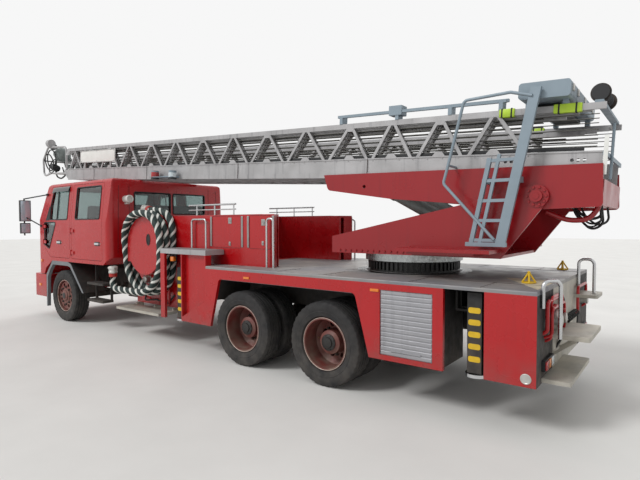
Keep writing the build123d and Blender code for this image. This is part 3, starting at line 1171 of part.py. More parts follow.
def suction_hose():
    # Turns side by side along Y, from a coupling low behind the cab to one at the top of the arch.
    layers = [HOSE_Y + n * HOSE_PITCH for n in range(HOSE_TURNS)][::-1]
    rear, front = HOSE_LEGS
    points = [(HOSE_END_X, layers[0], HOSE_END_Z), (HOSE_END_X, layers[0], HOSE_LOW)]
    for n, y in enumerate(layers):
        points += [(rear, y, HOSE_LOW), (rear, y, HOSE_HIGH)]
        if n + 1 < HOSE_TURNS:
            points += [(front, y, HOSE_HIGH), (front, layers[n + 1], HOSE_LOW)]
    points.append((HOSE_TOP_X, layers[-1], HOSE_HIGH + HOSE_LIFT))
    runs = [(Vector(*b) - Vector(*a)).length for a, b in zip(points, points[1:])]
    radii = []
    for a, b, c, run, after in zip(points, points[1:], points[2:], runs, runs[1:]):
        turn = (Vector(*b) - Vector(*a)).get_angle(Vector(*c) - Vector(*b))
        radii.append(0.45 * min(run, after) / math.tan(math.radians(turn) / 2))
    tube = rail(points, HOSE_R, radii)
    low = rod((HOSE_END_X, layers[0], HOSE_END_Z),
              (HOSE_END_X, layers[0], HOSE_END_Z + COUPLING_LENGTH), COUPLING_R)
    end = Vector(*points[-1])
    way = (end - Vector(*points[-2])).normalized()
    top = rod(points[-1], tuple(end + way * COUPLING_LENGTH), COUPLING_R)
    return [tube, low, top]


os.makedirs("parts", exist_ok=True)

save("chassis_frame", chassis_frame())
save("axles", front_axle(), rear_axles())
save("engine_block", engine_block())
save("tanks", tanks())

# Nodes that come as a left and a right one: name, left-hand solids
pairs = [("tyre_front", [tyre(WHEELBASE, WHEEL_Y)]), ("rim_front", [front_rim()]), ("knuckle", [knuckle()])]
for label, axle_x in (("mid", 0.0), ("rear", -TANDEM)):
    pairs.append((f"tyres_{label}", [tyre(axle_x, WHEEL_Y), tyre(axle_x, INNER_WHEEL_Y)]))
    pairs.append((f"rims_{label}", [rear_rims(axle_x)]))
cab_shell, cab_doors, cab_panes = cab()
for label, solids in cab_doors.items():
    pairs.append((f"door_{label}", solids))
for label, solids in pairs:
    save(f"{label}_left", solids)
    save(f"{label}_right", [flip(solid) for solid in solids])

save("cab_body", cab_shell)
save("cab_glass", cab_panes)
save("cab_interior", cab_interior())
save("cab_seats", cab_seats())
save("cab_trim", cab_trim())
save("front_bumper", front_bumper())
save("mudguards", mudguards())
save("mirrors", mirrors())
save("lamps", lamps())

save("deck", deck())
panels = side_panels()
save("side_panels", panels, [flip(panel) for panel in panels])
save("shutters", shutters())
save("pump_body", pump_body())
save("suction_hose", suction_hose())
save("upper_locker", upper_locker())
save("steps", both(crew_steps()), both(pump_steps()), rear_steps())
save("grab_rails", grab_rails())

for bay, bay_x in BAY_X.items():
    for label, side in (("left", 1), ("right", -1)):
        beam, jack = stabiliser(bay_x - side * BOX_TUBE / 2, side)
        save(f"stabiliser_{bay}_{label}", beam)
        save(f"jack_{bay}_{label}", jack)

save("slew_ring", slew_ring())
save("turret_frame", turret())
save("control_console", console())
save("boom_frame", boom_frame())
for number, node in enumerate(("ladder_base", "ladder_second", "ladder_third", "ladder_fly")):
    save(node, section(number))
save("ladder_tip", ladder_tip())
save("access_ladder", access_ladder())
save("boom_fittings", boom_fittings())
save("lift_barrels", lift_barrels())
save("lift_rods", lift_rods())
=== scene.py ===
import json
import math

import bmesh
import bpy
from mathutils import Matrix, Vector


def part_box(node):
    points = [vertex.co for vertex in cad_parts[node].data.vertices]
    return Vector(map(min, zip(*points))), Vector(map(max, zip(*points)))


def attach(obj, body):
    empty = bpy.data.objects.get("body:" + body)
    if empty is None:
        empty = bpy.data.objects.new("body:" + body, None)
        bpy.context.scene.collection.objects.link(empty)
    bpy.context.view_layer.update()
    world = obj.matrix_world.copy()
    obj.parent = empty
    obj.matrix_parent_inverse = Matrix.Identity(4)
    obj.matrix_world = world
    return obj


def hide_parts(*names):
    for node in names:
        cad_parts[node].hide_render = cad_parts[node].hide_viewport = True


bl_info = {
    "name": "Fire Engine Dresser",
    "version": (1, 0, 0),
    "blender": (4, 5, 0),
    "location": "View3D > Sidebar > Fire Engine",
    "description": "Finishes and fits out an aerial ladder fire engine round its solid parts",
    "category": "Object",
}

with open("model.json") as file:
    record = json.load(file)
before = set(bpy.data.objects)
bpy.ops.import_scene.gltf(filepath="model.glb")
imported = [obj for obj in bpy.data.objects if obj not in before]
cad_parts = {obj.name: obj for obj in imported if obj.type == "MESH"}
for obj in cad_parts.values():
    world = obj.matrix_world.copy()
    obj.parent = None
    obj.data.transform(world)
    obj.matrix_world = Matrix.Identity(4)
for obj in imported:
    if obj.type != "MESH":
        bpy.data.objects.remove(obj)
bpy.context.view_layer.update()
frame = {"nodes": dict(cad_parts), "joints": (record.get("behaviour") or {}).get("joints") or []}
JOINTS = {joint["name"]: joint for joint in frame["joints"]}

# Places. X is measured from the first rear axle, as a body builder would, and the frame gives that axle.
MID_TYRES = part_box("tyres_mid_left")
AXLE = (MID_TYRES[0].x + MID_TYRES[1].x) / 2
TYRE_R = (MID_TYRES[1].z - MID_TYRES[0].z) / 2
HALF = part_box("deck")[1].y
PIVOT = Vector(JOINTS["boom_raise"]["pos_m"])
ALONG = Vector(JOINTS["extend_second"]["axis"]).normalized()
ABOVE = Vector((-ALONG.z, 0, ALONG.x))
SLEW = Vector(JOINTS["turntable_slew"]["pos_m"])
BOOM_TURN = Matrix((ALONG, (0, 1, 0), ABOVE)).transposed().to_4x4()
SIDES = (("left", 1), ("right", -1))
# Each axle's place, the body of its wheels and the node of its tyres, both without their side
WHEELS = (("front", "wheel_front", "tyre_front"), ("mid", "wheels_mid", "tyres_mid"),
          ("rear", "wheels_rear", "tyres_rear"))
X, Y, Z = (Vector(way) for way in ((1, 0, 0), (0, 1, 0), (0, 0, 1)))
CAB_WAIST = 1.85
CAB_LEAN = 0.1053
CAB_BACK = 3.15
CAB_NOSE = 5.885
SCREEN_FOOT = (5.815, 1.75)
SCREEN_LEAN = 0.4388
DECK_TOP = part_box("deck")[1].z
LOCKER_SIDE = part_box("upper_locker")[1].y
BODY_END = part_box("deck")[0].x - AXLE

# The photograph's view
EYE = Vector((-4.4906 + AXLE, 5.4496, 1.8126))
LOOK_YAW = math.radians(-52.658)
LOOK_PITCH = math.radians(-1.887)
LOOK_ROLL = math.radians(0.118)
FOCAL_PIXELS = 479.14
PHOTO_WIDTH = 640
SENSOR_MM = 36.0


def at(x, y, z):
    """A point whose X is measured from the first rear axle."""
    return Vector((x + AXLE, y, z))


def on_boom(u, y, w):
    """A point in the boom's own frame: u forward from the pivot, w square to it."""
    return PIVOT + ALONG * u + ABOVE * w + Y * y


def sided(sign, near, far):
    """The low and the high Y of what lies between two distances out on one side."""
    return sorted((sign * near, sign * far))


def circle(centre, across, up, count, start=0.0):
    """Points round an ellipse whose half axes are two vectors."""
    turns = [math.tau * n / count + start for n in range(count)]
    return [centre + across * math.cos(turn) + up * math.sin(turn) for turn in turns]


def coil(centre, across, up, step, count, per_turn=20):
    """Points of a coil that moves on by a step from each point to the next."""
    ring = circle(centre, across, up, per_turn)
    return [ring[n % per_turn] + step * n for n in range(count)]


def cab_side(z):
    """Half width of the cab's outer skin at a height."""
    return HALF - max(0.0, z - CAB_WAIST) * CAB_LEAN


def linear(code):
    """An sRGB hex value as linear red, green and blue."""
    values = [int(code[n:n + 2], 16) / 255 for n in (0, 2, 4)]
    return tuple(v / 12.92 if v <= 0.04045 else ((v + 0.055) / 1.055) ** 2.4 for v in values)


def colour(name, description, code):
    return bpy.props.FloatVectorProperty(name=name, description=description, subtype="COLOR", size=3,
                                         min=0.0, max=1.0, default=linear(code))


def length(name, description, metres):
    return bpy.props.FloatProperty(name=name, description=description, default=metres, min=0.0,
                                   subtype="DISTANCE", unit="LENGTH")


class EngineColours(bpy.types.PropertyGroup):
    red: colour("Body red", "Enamel of the cab, the body and the turntable", "A8070E")
    red_faded: colour("Faded red", "The same enamel where sun and washing have thinned it", "B2161D")
    silver: colour("Ladder silver", "Aluminium paint of the ladder", "B0AFB0")
    silver_dirt: colour("Ladder dirt", "Grime that the ladder's paint holds", "868585")
    hose_dark: colour("Hose", "Cover of the suction hose", "122422")
    hose_light: colour("Hose spiral", "Pale spiral on the suction hose", "D9DAD4")
    deck: colour("Deck", "Oxidised aluminium of the deck", "7A7B80")
    deck_pale: colour("Deck wear", "Dry, chalky wear on the deck", "B4ADA0")


class EngineSizes(bpy.types.PropertyGroup):
    gasket: length("Gasket width", "Width of the rubber round a window", 0.022)
    groove: length("Tread depth", "Depth of the grooves in the tyres", 0.014)
    nut: length("Wheel nut", "Width across a wheel nut", 0.033)
    bolt: length("Bolt head", "Width across a bolt head on the turntable", 0.024)


def colours():
    return bpy.context.scene.engine_colours


def sizes():
    return bpy.context.scene.engine_sizes


class Shape:
    """Gathers the faces of one piece, in the row frame and in metres."""

    def __init__(self):
        self.mesh = bmesh.new()
        self.index = 0

    def _faces(self, points, faces):
        verts = [self.mesh.verts.new(p) for p in points]
        made = []
        for face in faces:
            new = self.mesh.faces.new([verts[n] for n in face])
            new.material_index = self.index
            made.append(new)
        return made

    def skin(self, points, count, wrap_rows=True, wrap_count=True):
        """Faces between rows of count points each. A way that isn't wrapped is closed by two end faces."""
        total, rows, faces = len(points), len(points) // count, []
        for n in range(rows if wrap_rows else rows - 1):
            ahead = (n + 1) % rows
            for k in range(count if wrap_count else count - 1):
                nxt = (k + 1) % count
                faces.append((n * count + k, n * count + nxt, ahead * count + nxt, ahead * count + k))
        if not wrap_count:
            faces += [tuple(range(0, total, count))[::-1], tuple(range(count - 1, total, count))]
        if not wrap_rows:
            faces += [tuple(range(count))[::-1], tuple(range(total - count, total))]
        self._faces(points, faces)
        return self

    def block(self, low, high, bevel=0.0, turn=None):
        """A box between two corners, with its edges rounded."""
        low, high = Vector(low), Vector(high)
        centre, size = (low + high) / 2, high - low
        scale = Matrix.Diagonal((*[abs(s) for s in size], 1))
        matrix = Matrix.Translation(centre) @ (turn or Matrix()) @ scale
        made = bmesh.ops.create_cube(self.mesh, size=1.0, matrix=matrix)["verts"]
        faces = {face for vert in made for face in vert.link_faces}
        if bevel:
            edges = list({edge for vert in made for edge in vert.link_edges})
            out = bmesh.ops.bevel(self.mesh, geom=edges, offset=bevel, segments=2, affect="EDGES",
                                  profile=0.6)
            faces = {face for face in faces if face.is_valid}
            faces |= {face for vert in out["verts"] for face in vert.link_faces}
        for face in faces:
            face.material_index = self.index
        return self

    def boom_block(self, low, high, bevel=0.0):
        """A box between two (u, y, w) corners, square to the boom."""
        low, high = Vector(low), Vector(high)
        centre, half = on_boom(*((low + high) / 2)), (high - low) / 2
        return self.block(centre - half, centre + half, bevel, BOOM_TURN)

    def boom_plate(self, outline, near, far):
        """A plate with a (u, w) outline, from one y to another."""
        points = [on_boom(u, y, w) for y in (near, far) for u, w in outline]
        return self.skin(points, len(outline), wrap_rows=False)

    def bar(self, start, end, width, depth, bevel=0.002):
        """A flat bar between two points, its width square to Y and its depth along Y."""
        start, end = Vector(start), Vector(end)
        way = (end - start).normalized()
        side = way.cross(Y).normalized()
        turn = Matrix((way, side.cross(way), side)).transposed().to_4x4()
        half = Vector(((end - start).length, depth, width)) / 2
        middle = (start + end) / 2
        return self.block(middle - half, middle + half, bevel, turn)

    def prism(self, outline, axis, start, end):
        """A flat outline in the two other axes, drawn out along axis."""
        def place(pair, along):
            values = list(pair)
            values.insert(axis, along)
            return values
        points = [place(pair, along) for along in (start, end) for pair in outline]
        return self.skin(points, len(outline), wrap_rows=False)

    def spin(self, profile, centre, axis, steps=32, closed=False):
        """Turns (distance along axis, radius) points about an axis line."""
        axis = Vector(axis).normalized()
        side = axis.orthogonal().normalized()
        points = []
        for out in circle(Vector(), side, axis.cross(side), steps):
            points += [Vector(centre) + axis * a + out * r for a, r in profile]
        return self.skin(points, len(profile), wrap_count=closed)

    def disc(self, centre, axis, radius, height, steps=24):
        """A short cylinder that starts at centre, with a small chamfer."""
        cut = min(radius, height) * 0.18
        profile = [(0, radius), (height - cut, radius), (height, radius - cut)]
        return self.spin(profile, centre, axis, steps)

    def nut(self, centre, axis, across, height):
        """A six-sided head, chamfered on top."""
        radius = across / math.sqrt(3)
        return self.spin([(0, radius), (height * 0.8, radius), (height, radius * 0.86)], centre, axis, 6)

    def tube(self, points, radius, sides=12, closed=False, radii=None):
        """A round bar along points."""
        points = [Vector(p) for p in points]
        count = len(points)
        tangents = []
        for n in range(count):
            ahead = points[(n + 1) % count] if closed or n + 1 < count else points[n]
            behind = points[n - 1] if closed or n else points[n]
            tangents.append((ahead - behind).normalized())
        side = tangents[0].orthogonal().normalized()
        rings = []
        for n, tangent in enumerate(tangents):
            side = (side - tangent * side.dot(tangent)).normalized()
            reach = radii[n] if radii else radius
            rings += circle(points[n], side * reach, tangent.cross(side) * reach, sides)
        return self.skin(rings, sides, wrap_rows=closed)

    def finish(self, name, body, *finishes, smooth=35.0, stands_for=()):
        """Turns the gathered faces into a piece that rides on a body and takes its finishes in order."""
        bmesh.ops.recalc_face_normals(self.mesh, faces=self.mesh.faces)
        data = bpy.data.meshes.new(name)
        self.mesh.to_mesh(data)
        self.mesh.free()
        for finish in finishes:
            data.materials.append(MATERIALS[finish])
        data.polygons.foreach_set("use_smooth", [True] * len(data.polygons))
        data.set_sharp_from_angle(angle=math.radians(smooth))
        piece = bpy.data.objects.new(name, data)
        bpy.context.scene.collection.objects.link(piece)
        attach(piece, body)
        if stands_for:
            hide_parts(*stands_for)
        return piece


def arc(before, corner, after, radius, steps):
    """The points of the arc that rounds a corner, no larger than its sides allow."""
    into, out = before - corner, after - corner
    half = into.angle(out) / 2
    reach = min(radius / math.tan(half), into.length * 0.45, out.length * 0.45)
    radius = reach * math.tan(half)
    centre = corner + (into.normalized() + out.normalized()).normalized() * (radius / math.sin(half))
    start = (corner + into.normalized() * reach - centre).normalized()
    end = (corner + out.normalized() * reach - centre).normalized()
    return [centre + start.slerp(end, n / steps) * radius for n in range(steps + 1)]


def rounded(points, radius, steps=6):
    """The same route with each corner rounded."""
    points = [Vector(p) for p in points]
    route = [points[0]]
    for before, corner, after in zip(points, points[1:], points[2:]):
        route += arc(before, corner, after, radius, steps)
    return route + [points[-1]]


def loop(points, radius, steps=4):
    """A closed outline with each corner rounded."""
    points = [Vector(p) for p in points]
    route = []
    for n, corner in enumerate(points):
        route += arc(points[n - 1], corner, points[(n + 1) % len(points)], radius, steps)
    return route


def paint_faces(name, finishes, rule):
    """Gives each face of a solid one of several finishes, by a rule on its middle and its normal."""
    mesh = frame["nodes"][name].data
    mesh.materials.clear()
    for finish in finishes:
        mesh.materials.append(MATERIALS[finish])
    for face in mesh.polygons:
        face.material_index = rule(face.center - X * AXLE, face.normal)


# Materials
def node(tree, kind, inputs=None, **settings):
    """Adds a node with its settings, its values and its links."""
    made = tree.nodes.new(kind)
    for name, value in settings.items():
        setattr(made, name, value)
    for socket, value in (inputs or {}).items():
        if isinstance(value, bpy.types.NodeSocket):
            tree.links.new(value, made.inputs[socket])
        else:
            made.inputs[socket].default_value = value
    return made


def rgba(value):
    return (*linear(value), 1.0) if isinstance(value, str) else (*value, 1.0)


def noise(tree, size_mm, detail=3.0, stretch=(1, 1, 1)):
    """A cloudy pattern whose blotches are about size_mm across, from 0 to 1."""
    place = node(tree, "ShaderNodeTexCoord")
    scaled = node(tree, "ShaderNodeMapping", {"Vector": place.outputs["Object"], "Scale": stretch})
    return node(tree, "ShaderNodeTexNoise", {"Vector": scaled.outputs[0], "Scale": 1000 / size_mm,
                                             "Detail": detail}).outputs["Fac"]


def span(tree, value, low, high, to_low=0.0, to_high=1.0):
    return node(tree, "ShaderNodeMapRange", {"Value": value, "From Min": low, "From Max": high,
                                             "To Min": to_low, "To Max": to_high}).outputs[0]


def blend(tree, factor, first, second):
    mixed = node(tree, "ShaderNodeMix", data_type="RGBA")
    for socket, value in ((0, factor), (6, first), (7, second)):
        if isinstance(value, bpy.types.NodeSocket):
            tree.links.new(value, mixed.inputs[socket])
        else:
            mixed.inputs[socket].default_value = value
    return mixed.outputs[2]


def height(tree):
    """Height above the ground, in metres."""
    place = node(tree, "ShaderNodeTexCoord")
    return node(tree, "ShaderNodeSeparateXYZ", {0: place.outputs["Object"]}).outputs[2]


def material(name, base, worn, patch_mm=400.0, grain_mm=4.0, rough=(0.3, 0.5), bump=0.1, metallic=0.0,
             mottle=0.6, dust=None, dust_top=0.0, streak=None, sheen=0.0, coat=0.0, shader=None):
    """One finish: base and worn colours in patches, an optional run of streaks, and road dust low down."""
    made = bpy.data.materials.new(name)
    made.use_nodes = True
    tree = made.node_tree
    surface = tree.nodes["Principled BSDF"]
    patches = span(tree, noise(tree, patch_mm, 4.0), 0.3, 0.8, 0.0, mottle)
    paint = blend(tree, patches, rgba(base), rgba(worn))
    if streak:
        runs = span(tree, noise(tree, 60, 3.0, (1, 1, 0.08)), 0.56, 0.74, 0.0, streak[1])
        paint = blend(tree, runs, paint, rgba(streak[0]))
    if dust:
        low = span(tree, height(tree), dust_top, 0.25, 0.0, 1.0)
        cloud = span(tree, noise(tree, 120, 5.0), 0.25, 0.8, 0.0, 1.0)
        share = node(tree, "ShaderNodeMath", {0: low, 1: cloud}, operation="MULTIPLY").outputs[0]
        paint = blend(tree, share, paint, rgba(dust))
    tree.links.new(paint, surface.inputs["Base Color"])
    grain = noise(tree, grain_mm, 2.0)
    tree.links.new(span(tree, noise(tree, patch_mm / 3, 3.0), 0.3, 0.7, *rough), surface.inputs["Roughness"])
    raised = node(tree, "ShaderNodeBump", {"Height": grain, "Strength": bump, "Distance": grain_mm / 1000})
    tree.links.new(raised.outputs[0], surface.inputs["Normal"])
    surface.inputs["Metallic"].default_value = metallic
    surface.inputs["Coat Weight"].default_value = coat
    surface.inputs["Sheen Weight"].default_value = sheen
    for socket, value in (shader or {}).items():
        surface.inputs[socket].default_value = value
    made.diffuse_color = rgba(base)
    return made


def make_materials():
    """Every finish, from what the real surface is made of."""
    c = colours()
    made = {}
    # Baked alkyd enamel over steel: deep gloss, chalked in patches, with road film on the skirts.
    made["enamel"] = material("red_enamel", c.red, c.red_faded, 700, 3.0, (0.2, 0.38), 0.05, coat=0.12,
                              dust="7A4A46", dust_top=0.8, streak=("8E1218", 0.3))
    # Two-pack paint of the turntable and boom foot: a darker red that is partly painted shade, because the
    # ladder keeps these parts out of the sun.
    made["boom_enamel_and_shade"] = material("boom_enamel_and_shade", "8C0D15", "991820", 900, 3.0, (0.25, 0.42), 0.05, coat=0.1,
                                   streak=("74121A", 0.4))
    # Aluminium paint on welded steel lattice: satin, with grime in the corners and rain streaks.
    made["silver"] = material("silver_paint", c.silver, c.silver_dirt, 260, 5.0, (0.42, 0.62), 0.12,
                              metallic=0.25, streak=("55565A", 0.4))
    # The access ladder's paint is newer; its blue tint is painted sky-lit shade.
    made["stile"] = material("grey_paint_with_shade_tint", "8896A0", "76858E", 200, 4.0, (0.4, 0.6), 0.1, metallic=0.15)
    # Black chassis primer, dry and dusty.
    made["chassis"] = material("chassis_black", "1C1C1E", "37332F", 200, 6.0, (0.6, 0.85), 0.2, dust="5C534A",
                               dust_top=1.1)
    # Cast iron under old paint: rust bloom and oil film.
    made["iron"] = material("cast_iron", "2A2725", "4A3A30", 120, 5.0, (0.55, 0.8), 0.35, dust="5C534A",
                            dust_top=0.8)
    # Pressed steel wheels, enamel gone to oxide where stones strike.
    made["wheel"] = material("wheel_enamel", "702522", "4A2C28", 90, 4.0, (0.45, 0.75), 0.25, dust="7A6A5E",
                             dust_top=1.0)
    # Carbon black tyre compound: matt, greyed by road dust.
    made["tyre"] = material("tyre_rubber", "171718", "29282A", 160, 3.0, (0.72, 0.9), 0.2, dust="4A4642",
                            dust_top=1.0)
    # Moulded EPDM window rubber: soft black, slightly shiny where it is wiped.
    made["gasket"] = material("epdm_rubber", "101112", "1E1F21", 150, 2.0, (0.5, 0.7), 0.08)
    # Injection-moulded grey polypropylene, sun-bleached on top.
    made["grey_plastic"] = material("grey_polypropylene", "6B6E72", "8A8C8E", 220, 1.5, (0.5, 0.7), 0.15)
    # Moulded black ABS with a fine spark-eroded grain.
    made["black_plastic"] = material("black_abs", "141517", "242528", 200, 1.2, (0.4, 0.6), 0.12)
    # Oxidised aluminium tread plate: pale bare tracks on grey.
    made["deck"] = material("tread_plate", c.deck, c.deck_pale, 500, 8.0, (0.45, 0.7), 0.3, metallic=0.35)
    # Perforated step plate, galvanised.
    made["step"] = material("galvanised_step", "A7A49C", "CFC8B8", 180, 6.0, (0.5, 0.75), 0.3, metallic=0.3)
    # Anodised slats of the roller shutter: satin with a faint straw tint.
    made["shutter"] = material("anodised_slat", "A2A2A6", "8E8E92", 300, 2.0, (0.32, 0.5), 0.05, metallic=0.5,
                               streak=("7C7C80", 0.35))
    # Turned steel race of the turntable: bright band with oil smears.
    made["ring"] = material("turned_steel", "B8BCBC", "8E9090", 90, 2.0, (0.2, 0.45), 0.06, metallic=0.95)
    # Grease on the teeth, black and wet.
    made["grease"] = material("black_grease", "0E0E0F", "1B1A18", 60, 5.0, (0.25, 0.5), 0.4)
    # Hard chrome on the cylinder rods and polished stainless rails.
    made["chrome"] = material("hard_chrome", "D2D4D6", "B9BBBD", 200, 1.5, (0.08, 0.22), 0.02, metallic=1.0)
    made["rail"] = material("stainless_tube", "C9CACB", "A9AAAB", 160, 1.5, (0.18, 0.35), 0.03, metallic=1.0)
    # Cylinder barrels in grey machine enamel.
    made["cylinder"] = material("machine_grey", "7C8482", "666D6B", 200, 3.0, (0.35, 0.55), 0.08,
                                streak=("4C5150", 0.4))
    # Woven seat cloth over foam, and grained trim.
    made["cloth"] = material("seat_cloth", "3A3D42", "4B4E53", 60, 2.5, (0.85, 0.95), 0.4, sheen=0.3)
    # Hose cover: rubberised fabric, dusty, with its spiral left pale.
    made["hose"] = material("hose_cover", c.hose_dark, "1B302D", 90, 2.5, (0.6, 0.8), 0.3)
    made["spiral"] = material("hose_spiral", c.hose_light, "B8B9B2", 70, 2.5, (0.6, 0.8), 0.3)
    # Cast aluminium couplings and valve bodies.
    made["cast"] = material("cast_aluminium", "C4C3BF", "A29F98", 40, 2.0, (0.35, 0.6), 0.2, metallic=0.8)
    # Polycarbonate lenses, tinted through.
    made["amber"] = material("amber_lens", "E07A12", "C96208", 60, 2.0, (0.1, 0.2), 0.02, coat=0.6)
    made["ruby"] = material("ruby_lens", "B3121A", "8E0E14", 60, 2.0, (0.1, 0.2), 0.02, coat=0.6)
    made["clear"] = material("clear_lens", "DDE6EA", "C3CFD6", 60, 2.0, (0.06, 0.15), 0.02, coat=0.6)
    made["yellow"] = material("yellow_enamel", "D9B21C", "B8941A", 60, 2.0, (0.35, 0.55), 0.05)
    made["white"] = material("white_enamel", "E4E4E0", "CFCFC9", 150, 2.0, (0.3, 0.45), 0.04)
    # Galvanised wire rope: dull zinc with grease in the lay.
    made["rope"] = material("wire_rope", "5B5A56", "3D3B38", 30, 3.0, (0.4, 0.6), 0.6, metallic=0.7)
    # Grained PVC trim of the cab's lining.
    made["trim"] = material("grained_trim", "34363A", "42444A", 180, 1.5, (0.55, 0.75), 0.25)
    # Fluorescent PVC sleeves, faded on the weather side.
    made["lime"] = material("fluorescent_pvc", "B9D93A", "9DBB3A", 80, 3.0, (0.4, 0.6), 0.15)
    # Bare steel where the tyre lever and the gutter have rubbed the rim's edge, made pale also as a painted
    # highlight along that edge.
    made["rim_highlight"] = material("worn_steel_and_highlight_rim", "C2B8AE", "8E7468", 40, 3.0, (0.35, 0.6), 0.2, metallic=0.6)
    # Grease and road dirt on the hub covers.
    made["hub_grease"] = material("greasy_hub", "1A1918", "302B28", 50, 3.0, (0.35, 0.6), 0.35)
    made["brass"] = material("dull_brass", "8C7440", "6E5C34", 40, 2.0, (0.35, 0.55), 0.1, metallic=0.9)
    # Tinted acrylic of the door visors.
    made["visor"] = material("smoked_acrylic", "1B1C1F", "232427", 300, 2.0, (0.1, 0.2), 0.0, coat=0.4)
    # Dirt that settles in a shut line.
    made["seam"] = material("seam_dirt", "2A1517", "1E1113", 60, 2.0, (0.7, 0.9), 0.1)
    # Pressed aluminium hinge strips, dulled by washing.
    made["strip"] = material("aluminium_strip", "A9A8A6", "8A8886", 120, 2.0, (0.35, 0.55), 0.08,
                             metallic=0.6)
    made["hose_collar"] = material("red_collar", "B02A22", "8C241E", 60, 2.0, (0.35, 0.55), 0.08)
    made["cable"] = material("cable_sheath", "15171C", "22252C", 60, 2.0, (0.5, 0.7), 0.1)
    # Cream colour of the patch on the deck's rear: painted sunlight.
    made["sunlit_deck_patch"] = material("painted_sunlight_on_deck", "C9BFA6", "8F8672", 90, 4.0, (0.6, 0.85), 0.25)
    # Silvered glass of the mirrors.
    made["mirror"] = material("silvered_glass", "C4D2DC", "B4C4D0", 400, 2.0, (0.12, 0.2), 0.0, metallic=0.35)
    # Toughened float glass with a green tint at its edges.
    made["glass"] = material("float_glass", "A9B8B6", "9DAEAC", 900, 50.0, (0.02, 0.05), 0.0,
                             shader={"Transmission Weight": 1.0, "IOR": 1.5})
    return made


def both(*names):
    """The left and the right node for each name."""
    return tuple(f"{name}_{side}" for name in names for side in ("left", "right"))


NODE_FINISHES = {
    "enamel": ("cab_body", "front_bumper", "pump_body", "upper_locker", "side_panels"),
    # The turntable and boom take the darker red, which is partly painted shade.
    "boom_enamel_and_shade": ("turret_frame", "boom_frame"),
    "silver": ("ladder_base", "ladder_second", "ladder_third", "ladder_fly", "ladder_tip"),
    "stile": ("access_ladder", "boom_fittings"),
    "chassis": ("chassis_frame", "tanks", *both("stabiliser_front", "stabiliser_rear")),
    "iron": ("axles", "engine_block", *both("knuckle")),
    "wheel": both("rim_front", "rims_mid", "rims_rear"),
    "grey_plastic": ("mudguards", "control_console"),
    "black_plastic": ("mirrors", "cab_trim"),
    "deck": ("deck",),
    "step": ("steps",),
    "shutter": ("shutters",),
    "grease": ("slew_ring",),
    "rail": ("grab_rails",),
    "chrome": ("lift_rods", *both("jack_front", "jack_rear")),
    "cylinder": ("lift_barrels",),
    "cloth": ("cab_seats",),
    "trim": ("cab_interior",),
    "clear": ("lamps",),
    "glass": ("cab_glass",),
    "tyre": both("tyre_front", "tyres_mid", "tyres_rear"),
    "hose": ("suction_hose",),
}
# The nodes of the four doors
DOORS = both("door_front", "door_rear")
MATERIALS = {}


def islands(mesh):
    """The number of the separate solid that each face of a mesh belongs to."""
    links = list(range(len(mesh.vertices)))

    def root(n):
        while links[n] != n:
            links[n] = links[links[n]]
            n = links[n]
        return n

    places = {}
    for n, vertex in enumerate(mesh.vertices):
        key = tuple(round(v, 5) for v in vertex.co)
        links[root(n)] = root(places.setdefault(key, n))
    for edge in mesh.edges:
        links[root(edge.vertices[0])] = root(edge.vertices[1])
    return [root(face.vertices[0]) for face in mesh.polygons]


